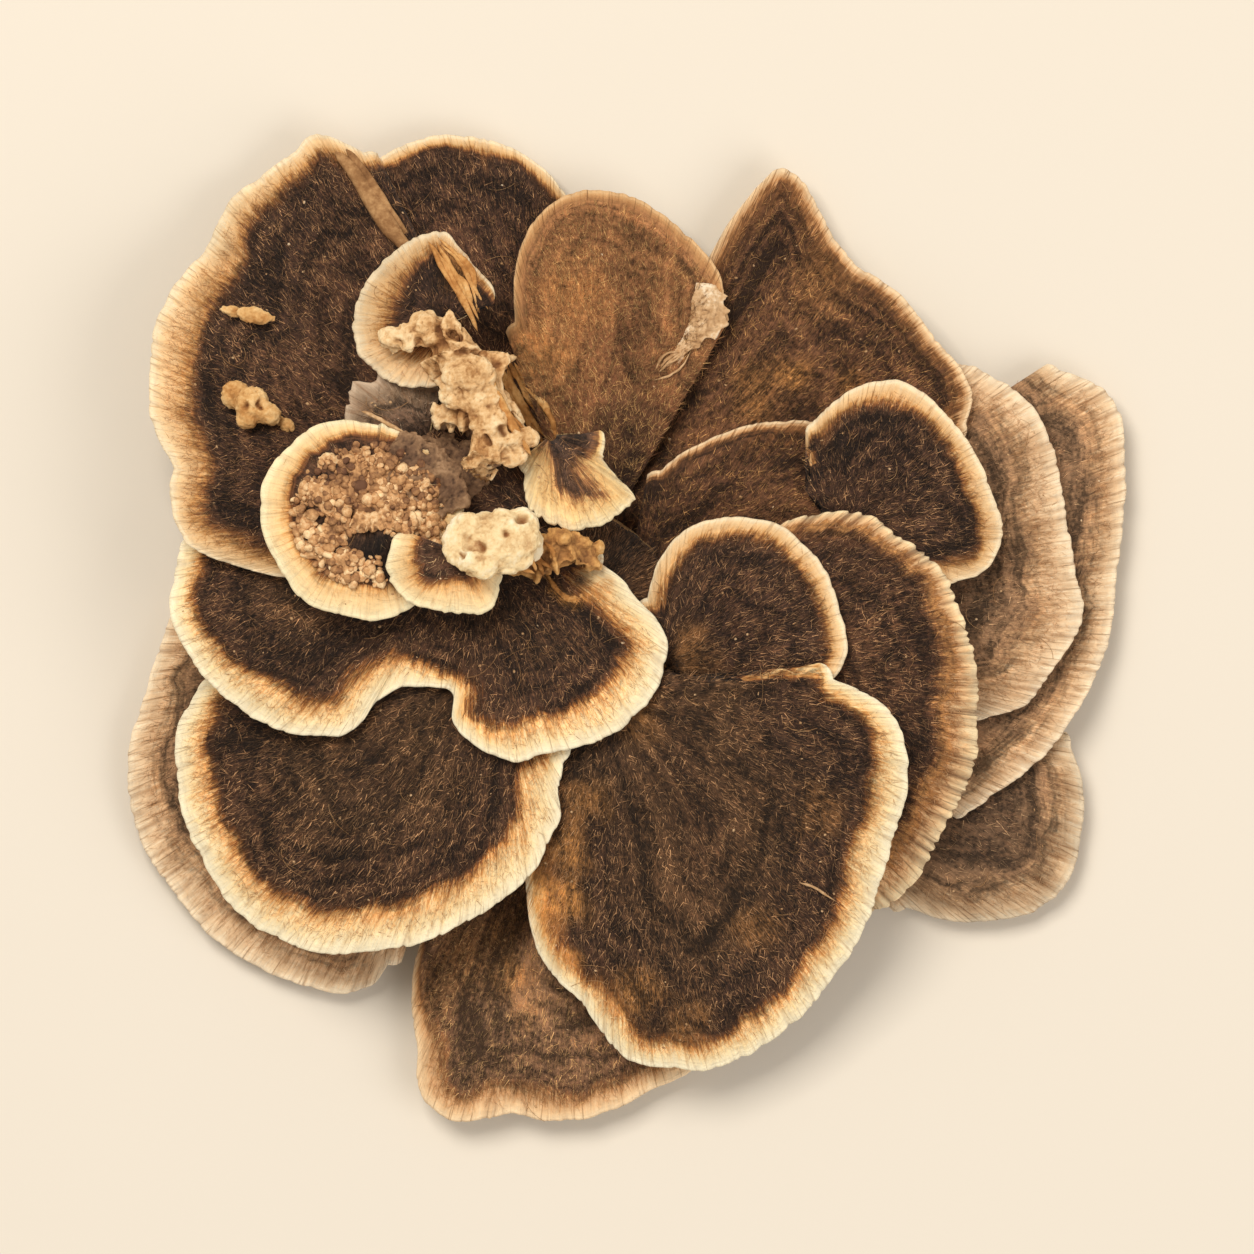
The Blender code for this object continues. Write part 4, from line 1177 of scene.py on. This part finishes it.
# %% The crusts and crumbs
# Lumps: x, y, three radii and a turn in degrees
LUMPS = {
    "crust_ridge": (
        (-15.1, 22.4, 1.05, 1.1, 1.0, 0), (-13.9, 22.6, 1.0, 1.0, 0.95, 0),
        (-13.7, 21.7, 0.8, 0.7, 0.7, 0), (-12.2, 23.5, 1.4, 1.3, 1.3, 20),
        (-11.5, 22.3, 1.0, 0.8, 0.9, 0), (-9.4, 21.9, 1.7, 0.4, 0.7, -15),
        (-8.6, 19.4, 2.4, 1.7, 1.0, 0), (-7.8, 17.4, 2.0, 1.8, 0.9, 0),
        (-9.8, 17.9, 1.4, 1.5, 0.8, 0), (-7.0, 15.4, 1.8, 1.5, 0.9, 0),
        (-11.3, 16.0, 0.5, 1.3, 0.8, 10), (-10.2, 15.8, 0.5, 1.3, 0.8, 5),
        (-9.1, 15.6, 0.5, 1.3, 0.8, 0), (-6.9, 19.0, 0.35, 2.0, 1.4, 15),
        (-5.3, 17.0, 0.5, 2.4, 1.1, 33), (-5.5, 20.7, 0.8, 0.4, 0.9, 10),
        (-5.5, 14.1, 1.5, 1.1, 0.95, 0), (-3.9, 14.3, 1.2, 1.0, 0.9, -20),
        (-4.9, 12.7, 1.3, 1.0, 0.85, 20), (-6.5, 13.2, 0.8, 1.4, 0.7, 20)),
    "crust_knob": (
        (-6.2, 5.6, 3.7, 2.5, 1.6, 12), (-8.8, 6.9, 1.5, 1.3, 0.9, 30),
        (-6.0, 7.7, 1.1, 0.8, 0.8, 0), (-4.3, 7.1, 1.6, 1.5, 1.1, 0),
        (-3.5, 5.5, 1.1, 1.7, 1.0, 0), (-5.1, 4.1, 2.0, 1.1, 0.8, 10),
        (-7.3, 3.6, 1.2, 1.1, 0.9, 0), (-9.7, 5.6, 1.1, 1.9, 0.8, 0),
        (-8.6, 4.1, 1.1, 1.0, 0.8, 0)),
    "root_tissue": (
        (-3.6, 4.4, 0.5, 1.5, 0.8, -35), (-2.6, 5.5, 0.7, 0.9, 0.9, -8),
        (-1.7, 4.6, 0.4, 1.7, 0.8, 12), (-0.9, 6.0, 0.9, 0.6, 0.9, 20),
        (-0.2, 4.9, 0.35, 1.6, 0.9, 25), (0.8, 5.6, 0.8, 0.6, 0.8, -20),
        (1.4, 4.4, 0.4, 1.4, 0.7, 40), (-4.8, 3.6, 0.6, 0.9, 0.7, -40),
        (-2.9, 3.2, 0.35, 1.1, 0.6, -15), (2.0, 5.3, 0.5, 0.7, 0.6, 0)),
    "crumb_round": (
        (-27.8, 17.8, 1.3, 1.3, 1.0, 20), (-26.4, 17.1, 1.5, 1.5, 1.2, 0),
        (-26.8, 15.9, 1.1, 1.0, 0.9, 0), (-25.2, 16.3, 1.4, 1.0, 0.9, -30),
        (-23.7, 15.4, 1.0, 0.6, 0.6, -35)),
    "crumb_sliver": ((-28.2, 24.8, 1.2, 0.5, 0.4, -10), (-26.4, 24.4, 1.6, 0.8, 0.5, -10)),
}
# Folded sheets: corners (x, y, height over the solid) and a thickness
FOLDS = {
    "crust_ridge": (
        (((-12.7, 20.3, 0.1), (-11.1, 21.1, 0.5), (-9.1, 21.5, 0.7), (-6.9, 21.3, 0.8),
          (-5.3, 21.3, 1.2), (-5.1, 20.5, 1.0), (-6.0, 19.0, 0.7), (-5.0, 16.6, 0.5),
          (-6.6, 14.4, 0.3), (-9.0, 15.2, 0.3), (-11.2, 15.4, 0.3), (-10.6, 17.9, 0.5),
          (-11.7, 18.9, 0.2)), 1.3),
        (((-10.2, 24.8, 1.5), (-10.0, 23.1, 0.5), (-10.5, 21.9, 0.6), (-11.1, 23.4, 1.0)), 0.8),
        (((-10.2, 24.8, 1.5), (-7.8, 21.6, 1.0), (-8.5, 21.5, 0.4), (-10.0, 23.0, 0.4)), 0.5),
        (((-9.4, 12.1, 0.5), (-8.2, 13.2, 0.9), (-7.2, 12.6, 0.7), (-6.2, 11.6, 0.5),
          (-6.8, 10.6, 0.2), (-8.2, 11.0, 0.3)), 0.7)),
    "root_tissue": (
        (((-4.8, 3.2, 0.2), (-3.0, 6.4, 0.4), (0.4, 6.6, 0.5), (2.2, 3.6, 0.2), (1.2, 3.3, 0.0),
          (-0.6, 4.2, 0.3), (-2.2, 3.4, 0.3), (-3.2, 2.6, 0.2)), 1.2),),
}
# Pits: x, y and radius
PITS = {
    "crust_ridge": ((-6.0, 14.8, 0.45), (-6.8, 13.9, 0.35), (-5.0, 15.0, 0.3),
                    (-9.3, 22.6, 0.35)),
    "crust_knob": ((-7.7, 5.2, 0.4), (-5.5, 6.5, 0.3), (-4.3, 7.6, 0.4), (-9.0, 4.7, 0.3)),
    "root_tissue": ((0.3, 3.4, 0.6),),
    "crumb_round": ((-26.9, 16.7, 0.35), (-25.6, 17.0, 0.25)),
}
# Finish, depth and size of the wrinkles, grain, and from what depth a hollow is dark all over with
# painted shade
CRUSTS = {
    "crust_ridge": ("chalky_peach", 0.13, 2.3, 0.035, 0.24),
    "crust_knob": ("chalky_cream", 0.08, 2.4, 0.04, 0.25),
    "root_tissue": ("torn_brown", 0.08, 1.5, 0.06, 0.45),
    "crumb_round": ("dusty_tan", 0.08, 1.4, 0.05, 0.2),
    "crumb_sliver": ("dusty_tan", 0.08, 1.2, 0.05, 0.2),
}


def placed(mesh, name, finish):
    """The mesh as an object with one of the chalky finishes."""
    mesh.materials.append(chalks[finish])
    print(name, len(mesh.polygons), "faces")
    return put(name, mesh)


pieces = []
for number, (name, (finish, *roughness)) in enumerate(CRUSTS.items()):
    own = roof_of([frame["nodes"][name]])
    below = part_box(name)[0].z / MM
    blobs = [(x, y, ground_height(own, x, y, below + 1.0) - 0.45 * tall, wide, deep, tall, turn)
             for x, y, wide, deep, tall, turn in LUMPS[name]]
    sheets = [([(x, y, ground_height(own, x, y, below + 1.0) + rise) for x, y, rise in corners],
               thick) for corners, thick in FOLDS.get(name, ())]
    mesh = heap(name + "_lumps", blobs, frame["nodes"][name], sheets)
    roughen(mesh, *roughness, number + 3, PITS.get(name, ()))
    pieces.append((placed(mesh, name + "_lumps", finish), name))

# %% [markdown]
# The saucer is filled with a crumbly crust: hundreds of crumbs, no two alike, half sunk in a bed
# of fused flat lumps, with the ribs of a small bulging fan in the middle. The crumbs stay
# separate, because fusing would melt them together. Below the fan the saucer is bare, with
# painted shade on it. Grey-brown felt joins it to the ridge.

# %% The bed in the saucer
saucer = roof_of([frame["nodes"]["cap_saucer"]])
chance = np.random.default_rng(41)
MIDDLE = (-16.8, 7.9)
BARE = ((-16.6, 5.7, 2.0, 1.0), (-14.6, 3.8, 1.2, 1.5))
BED_LUMPS, CRUMBS = 330, 760


def strewn_places(count, wide, tall, bare):
    """Random places in the saucer but not in its bare ovals, and how far out each is."""
    for _ in range(count):
        turn, out = chance.uniform(0, 2 * math.pi), math.sqrt(chance.uniform(0, 1))
        x, y = MIDDLE[0] + wide * out * math.cos(turn), MIDDLE[1] + tall * out * math.sin(turn)
        if ground_height(saucer, x, y) and all(
                math.hypot((x - px) / across, (y - py) / along) > bare
                for px, py, across, along in BARE):
            yield x, y, out


bed = []
for x, y, out in strewn_places(BED_LUMPS, 6.0, 5.6, 1.35):
    radius = chance.uniform(0.5, 1.0) * (1 - 0.3 * out)
    rise = 0.5 * (1 - out ** 2) * chance.uniform(0, 1)
    bed.append((x, y, ground_height(saucer, x, y) + rise, radius, radius, 0.6 * radius, 0))
bed += [(-16.7 + 1.7 * share, 8.1 - 0.9 * (1 - share ** 2),
         ground_height(saucer, -16.7, 8.1) + 0.9, 0.17, 1.1, 0.5, 35 * share)
        for share in np.linspace(-1, 1, 8)]
mesh = heap("saucer_bed", bed, voxel=0.16, fineness=1)
roughen(mesh, wrinkle=0.05, size=0.9, grain=0.07, shade_depth=0.2, seed=9)
bed_top = BVHTree.FromPolygons([v.co for v in mesh.vertices],
                               [p.vertices for p in mesh.polygons])
extras.append((placed(mesh, "saucer_bed", "granular"), "crust"))

# %% The crumbs in the saucer
bm = bmesh.new()
deep, shade = [], []
for x, y, out in strewn_places(CRUMBS, 6.2, 5.8, 1.0):
    radius = (0.2 + 0.3 * chance.uniform(0, 1) ** 1.5) * (1 - 0.15 * out)
    if math.hypot(x + 16.7, (y - 7.6) / 0.8) < 1.5:
        continue
    z = max(ground_height(saucer, x, y), ground_height(bed_top, x, y))
    z += radius * chance.uniform(-0.5, 0.5)
    shape = (Matrix.Translation(Vector((x, y, z)) * MM)
             @ Matrix.Rotation(chance.uniform(0, 6.3), 4, Vector(chance.normal(0, 1, 3)))
             @ Matrix.Diagonal((*(radius * MM * chance.uniform(0.65, 1.3, 3)), 1)))
    ball = bmesh.ops.create_icosphere(bm, subdivisions=2, radius=1, matrix=shape)["verts"]
    # Painted shade on the lower part of each crumb, and a random tone that is darker towards the
    # top of the saucer
    deep += [max(0.0, 0.5 - (vert.co.z / MM - z) / radius) * 0.8 for vert in ball]
    shade += [chance.uniform(-0.9, 0.9) + 0.06 * (y - MIDDLE[1])] * len(ball)
    for vert in ball:
        vert.co += 0.11 * MM * noise.noise_vector(vert.co * 2200)
mesh = mesh_from(bm, "saucer_crumbs")
store(mesh, "shade", shade)
store(mesh, "deep", deep)
mesh.shade_smooth()
extras.append((placed(mesh, "saucer_crumbs", "granular"), "crust"))

# %% The felt beside the saucer
open_below = roof_of([node for key, node in frame["nodes"].items()
                      if key not in ("crust_ridge", "crust_knob")])
FELT_LUMPS = 240
blobs = []
for _ in range(FELT_LUMPS):
    share, aside = chance.uniform(0, 1), chance.normal(0, 1)
    x, y = -14.2 + 6.4 * share + 1.1 * aside, 13.8 - 3.6 * share + 1.3 * aside
    radius = chance.uniform(0.35, 0.9)
    blobs.append((x, y, ground_height(open_below, x, y, 13) + 0.1 * radius, radius,
                  0.7 * radius, 0.6 * radius, chance.uniform(0, 180)))
mesh = heap("felt_bridge", blobs, voxel=0.18, fineness=1)
roughen(mesh, wrinkle=0.1, size=1.0, grain=0.08, shade_depth=0.16, seed=12)
extras.append((placed(mesh, "felt_bridge", "felt"), "buff_bracket"))

# %% [markdown]
# ## The base
# All brackets share one foot of corky tissue, which was cut off its wood. Hardly any of it
# shows from above, only a dark velvety spot between the brackets. It is a turned shape whose
# radius and height wander, so that it looks torn and fibrous at the side.

# %% The corky base
def build_base():
    """A dented foot and stem inside the solid's own outline, flat underneath."""
    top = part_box("base")[1].z / MM
    profile = ((0.0, 0.0), (12.2, 0.0), (12.6, 0.5), (12.2, 1.3), (10.6, 2.0), (9.2, 3.0),
               (8.9, 0.4 * top), (8.9, 0.75 * top), (8.7, top - 1.2), (7.9, top - 0.45),
               (5.5, top - 0.05), (2.5, top), (0.0, top))
    levels, sides = 64, 190
    rows = spline(len(profile), np.linspace(0, len(profile) - 1, levels)) @ np.array(profile)
    angle = np.linspace(0, 2 * math.pi, sides, endpoint=False)
    s = np.broadcast_to(angle[None] * 9, (len(rows), sides))
    z = np.broadcast_to(rows[:, 1:], s.shape)
    torn = 0.55 * lumps(s / 3.1, z / 8, 71) + 0.3 * lumps(s / 0.9, z / 4, 72) - 0.65
    on_side = step(z, 0.1, 0.8) * (1 - step(z, top - 1.0, top - 0.2))
    radius = np.maximum(rows[:, :1] + torn * on_side, 0)
    height = np.maximum(z + 0.12 * lumps(s / 2.5, radius / 2, 73) * step(z, top - 2, top), 0)
    x, y = radius * np.cos(angle), radius * np.sin(angle)
    bm = bmesh.new()
    grid = [[bm.verts.new((a * MM, b * MM, c * MM)) for a, b, c in zip(*row)]
            for row in zip(x, y, height)]
    for lower, upper in zip(grid, grid[1:]):
        for side in range(sides):
            other = (side + 1) % sides
            face = bm.faces.new((lower[side], lower[other], upper[other], upper[side]))
            face.material_index = 1 if upper[side].co.z > (top - 1.2) * MM else 0
            face.smooth = True
    bmesh.ops.remove_doubles(bm, verts=bm.verts, dist=1e-6)
    bmesh.ops.dissolve_degenerate(bm, dist=1e-7, edges=bm.edges)
    bmesh.ops.recalc_face_normals(bm, faces=bm.faces)
    mesh = mesh_from(bm, "corky_base")
    mesh.materials.append(chalks["corky"])
    mesh.materials.append(finishes["dark"])
    co = all_points(mesh) / MM
    out = np.hypot(co[:, 0], co[:, 1])
    turn = np.arctan2(co[:, 1], co[:, 0])
    store(mesh, "fibre", np.column_stack([turn * 9, out, 0 * out + 91]))
    store(mesh, "lay", np.column_stack([np.cos(turn), np.sin(turn), 0 * out]))
    store(mesh, "band", 0 * out + 3)
    store(mesh, "edge", 0 * out + 9)
    return put("corky_base", mesh)


base = build_base()
open_weight(base.data)
pieces.append((base, "base"))
extras.append((grown("base_velvet", base, velvet_hairs,
                     {"Each square metre": 26e6, "Length": 0.7 * MM, "Radius": 0.028 * MM,
                      "Lift": 0.4, "Swerve": 0.7, "Pallor": 0.7, "Seed": 77,
                      "Finish": finishes["dark"]}), "dark_bracket"))

# %% [markdown]
# ## Torn edges
# A few edges are rolled or torn into strips. Each strip is a slim ribbon along a smooth path
# that follows the height of what it lies on. Where that drops away, the strip is stiff enough to
# stick out over the edge, and it sinks only gently.

# %% Ribbons
def ribbon(name, path, sides=8, wobble=0.12, bed=None, sag=0.4):
    """A flat tapered tube through points (x, y, rise, half width, half height), in mm.

    It lies on the bed and sinks by no more than sag for each millimetre beyond an edge.
    """
    path = np.array(path, float)
    count = max(12, 6 * len(path))
    fine = spline(len(path), np.linspace(0, len(path) - 1, count)) @ path
    ground = np.array([ground_height(bed or roof, x, y, 3.0) for x, y in fine[:, :2]])
    gone = np.cumsum(np.append(0, np.linalg.norm(np.diff(fine[:, :2], axis=0), axis=1)))
    ground = (ground[None] - sag * np.abs(gone[:, None] - gone[None])).max(axis=1)
    ground = np.convolve(np.pad(ground, 2, mode="edge"), np.ones(5) / 5, mode="valid")
    middle = np.column_stack([fine[:, :2], ground + fine[:, 2]])
    along = np.gradient(middle, axis=0)
    along /= np.linalg.norm(along, axis=1)[:, None]
    side = np.cross(along, (0, 0, 1))
    side /= np.linalg.norm(side, axis=1)[:, None]
    up = np.cross(side, along)
    turn = np.linspace(0, 2 * math.pi, sides, endpoint=False)
    places = np.arange(count)[:, None] + 0 * turn
    seed = int(abs(path[0, 0] * 7 + path[0, 1] * 3)) + 5
    ragged = 1 + wobble * lumps(places / 2.5, turn + 0 * places, seed)
    ends = np.clip(np.minimum(places, count - 1 - places) / 2.0 + 0.15, 0, 1)
    wide = fine[:, 3:4] * np.cos(turn) * ragged * ends
    tall = fine[:, 4:5] * np.sin(turn) * ragged * ends
    points = (middle[:, None] + wide[:, :, None] * side[:, None]
              + tall[:, :, None] * up[:, None]) * MM
    index = np.arange(count * sides).reshape(count, sides)
    other = np.roll(index, -1, axis=1)
    faces = np.stack([index[:-1], other[:-1], other[1:], index[1:]], -1).reshape(-1, 4).tolist()
    faces += [index[0, ::-1].tolist(), index[-1].tolist()]
    mesh = bpy.data.meshes.new(name)
    mesh.from_pydata(points.reshape(-1, 3).tolist(), [], faces)
    return mesh


def joined(name, meshes, finish):
    """Several meshes as one object with one of the chalky finishes."""
    bm = bmesh.new()
    for mesh in meshes:
        bm.from_mesh(mesh)
    for face in bm.faces:
        face.material_index = 0
    bmesh.ops.recalc_face_normals(bm, faces=bm.faces)
    whole = mesh_from(bm, name)
    whole.materials.append(chalks[finish])
    whole.shade_smooth()
    return put(name, whole)


left_top = roof_of([frame["nodes"]["cap_left"]])
rolled_edge = joined("rolled_edge", [
    ribbon("roll", ((-19.9, 38.2, 0.3, 0.35, 0.2), (-18.4, 36.6, 0.45, 0.6, 0.4),
                    (-16.9, 34.2, 0.5, 0.75, 0.5), (-15.3, 31.8, 0.5, 0.7, 0.5),
                    (-13.6, 29.6, 0.4, 0.45, 0.35)), sides=14, bed=left_top),
    ribbon("lip", ((-19.0, 38.4, 0.3, 0.3, 0.1), (-17.3, 36.2, 0.5, 0.4, 0.12),
                   (-15.4, 33.2, 0.6, 0.4, 0.12), (-13.4, 30.4, 0.4, 0.25, 0.1)),
           bed=left_top)], "rolled")


# %% Bundles of torn fibres
def fibres(start, end, count, spread, wide):
    """Paths of a bundle of torn fibres between two places, each with its own ends and bend."""
    start, end = np.array(start, float), np.array(end, float)
    way = (end - start) / np.linalg.norm(end - start)
    aside = np.array((way[1], -way[0]))
    paths = []
    for _ in range(count):
        near, far = chance.uniform(0, 0.4), chance.uniform(0.6, 1)
        shift, bend, half = chance.normal(0, spread), chance.normal(0, 0.5), chance.uniform(*wide)
        rise = chance.uniform(0.1, 0.45)
        paths.append([(*(start + (end - start) * at + aside * (shift + bend * out)),
                       rise * out, half * (0.4 + 0.6 * out), 0.12)
                      for at, out in zip(np.linspace(near, far, 4), (0, 1, 0.9, 0))])
    return paths


strips = fibres((-11.4, 30.8), (-7.0, 22.8), 9, 0.5, (0.12, 0.34))
strips += fibres((-6.6, 21.6), (-1.4, 12.4), 16, 0.75, (0.14, 0.4))
strips += fibres((-2.6, 6.4), (-1.0, 3.4), 5, 0.9, (0.12, 0.24))
lobed_top = roof_of([frame["nodes"]["cap_lobed"]])
fold = ribbon("fold", ((-2.5, 3.6, 0.0, 0.12, 0.1), (-1.8, 2.3, 0.0, 0.2, 0.16),
                       (-1.0, 1.4, -0.05, 0.3, 0.2), (-0.1, 1.0, -0.08, 0.34, 0.22),
                       (0.7, 1.3, -0.08, 0.3, 0.18), (1.5, 2.0, -0.1, 0.2, 0.12)),
              wobble=0.4, bed=lobed_top)
torn_strips = joined("torn_strips", [
    fold, *(ribbon("strip", path, wobble=0.4) for path in strips)], "golden")
# The torn line over the saucer, a stray fibre, and the frayed corner of the upper bracket
flakes = [((-17.4, 16.4, 0.2, 0.1, 0.08), (-16.2, 15.9, 0.3, 0.14, 0.1),
           (-14.9, 15.2, 0.3, 0.14, 0.1), (-13.8, 14.6, 0.1, 0.08, 0.08)),
          ((18.4, -22.2, 0.3, 0.06, 0.06), (19.6, -22.6, 0.3, 0.1, 0.08),
           (21.5, -23.8, 0.3, 0.06, 0.06))]
flakes += fibres((10.8, 22.6), (6.0, 19.0), 7, 0.5, (0.06, 0.13))
pale_flakes = joined("pale_torn_edges",
                     [ribbon("flake", path, wobble=0.5) for path in flakes], "whitish")
FRAYED = ((10.0, 27.3), (11.5, 27.2), (11.9, 26.6), (12.7, 26.2), (12.2, 25.6), (12.9, 24.9),
          (12.3, 24.5), (12.8, 23.7), (12.0, 23.3), (11.6, 22.5), (10.8, 22.7), (10.2, 21.8),
          (9.2, 21.5), (8.6, 20.4), (7.8, 19.9), (7.6, 21.0), (8.6, 22.3), (9.4, 24.0), (9.6, 25.8))
sheet = [(x, y, 0.08 + max(ground_height(roof, x, y), ground_height(roof, x - 1.6, y)))
         for x, y in FRAYED]
mesh = heap("frayed_corner", [], folds=[(sheet, 0.4)], voxel=0.11)
roughen(mesh, wrinkle=0.06, size=1.1, grain=0.04, shade_depth=0.15, seed=21)
extras.append((placed(mesh, "frayed_corner", "whitish"), "buff_bracket"))
extras += [(rolled_edge, "dark_bracket"), (torn_strips, "cream_bracket"),
           (pale_flakes, "cream_bracket")]

# %% [markdown]
# ## Specks and stray strands
# The velvet is strewn with pale specks, which are crumbs of dry tissue, and with long hairs that
# came loose and curl over it. Both are scattered by Geometry Nodes: a squashed icosphere for a
# speck, and a thin tube along a bend for a strand, turned at random about the skin's normal and
# stretched at random, so that some are nearly straight.

# %% Specks and strands
def litter_tree(kind):
    """Geometry Nodes that strew specks or strands over a skin."""
    tree, new, given, points = scatter_over_skin("strewn_" + kind, {
        "Each square metre": 2e5, "Size": 0.12 * MM})
    if kind == "specks":
        shape = new("MeshIcoSphere", {"Radius": given["Size"], "Subdivisions": 1})
    else:
        bend = new("CurveQuadraticBezier", {"Resolution": 7, "Start": (-0.5, 0, 0),
                                            "Middle": (0.1, 0.5, 0.1), "End": (0.5, 0.1, 0)})
        sized = new("Transform", {"Geometry": bend, "Translation": (0, 0, 0.12 * MM),
                                  "Scale": given["Size"]})
        ring = new("CurvePrimitiveCircle", {"Resolution": 3, "Radius": 0.02 * MM})
        shape = new("CurveToMesh", {"Curve": sized, "Profile Curve": ring})
    spin = new("RandomValue", {2: 0.0, 3: 6.283, "Seed": 4}, data_type="FLOAT")
    spun = new("CombineXYZ", {"Z": spin})
    turn = new("RotateRotation", {"Rotation": points["Rotation"], "Rotate By": spun},
               rotation_space="LOCAL")
    size = new("RandomValue", {0: (0.4, 0.25, 0.5), 1: (1.5, 1.2, 1.0), "Seed": 6},
               data_type="FLOAT_VECTOR")
    lie = new("InstanceOnPoints", {"Points": points["Points"], "Instance": shape,
                                   "Rotation": turn, "Scale": size})
    finish_tree(new, given, lie)
    return tree


LITTER = {"specks": (0.08, 0.125 * MM, "whitish"), "strands": (0.06, 2.2 * MM, "strand_hair")}
for kind, (per_mm2, size, finish) in LITTER.items():
    tree = litter_tree(kind)
    strewn = [grown(f"{name}_{kind}", skins[name], tree,
                    {"Each square metre": per_mm2 * 1e6, "Size": size, "Seed": 60 + number,
                     "Finish": chalks[finish]}) for number, name in enumerate(CAPS)]
    whole = joined("velvet_" + kind, [thing.data for thing in strewn if thing.data.polygons],
                   finish)
    for thing in strewn:
        bpy.data.objects.remove(thing)
    extras.append((whole, "cream_bracket"))
    print(kind, len(whole.data.polygons), "faces")

# %% [markdown]
# ## Handing the pieces to the frame
# Every piece rides on the one body there is. Those that stand for a solid hide it.

# %% Ride and replace
pieces += [(skins[name], name) for name in CAPS]
for piece, node in pieces:
    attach(piece, "root")
    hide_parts(node)
for piece, slot in extras:
    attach(piece, "root")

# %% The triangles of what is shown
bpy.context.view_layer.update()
faces = {piece.name: sum(len(p.vertices) - 2 for p in piece.data.polygons)
         for piece, _ in pieces + extras}
print("triangles:", sum(faces.values()), "most:", max(faces.items(), key=lambda pair: pair[1]))
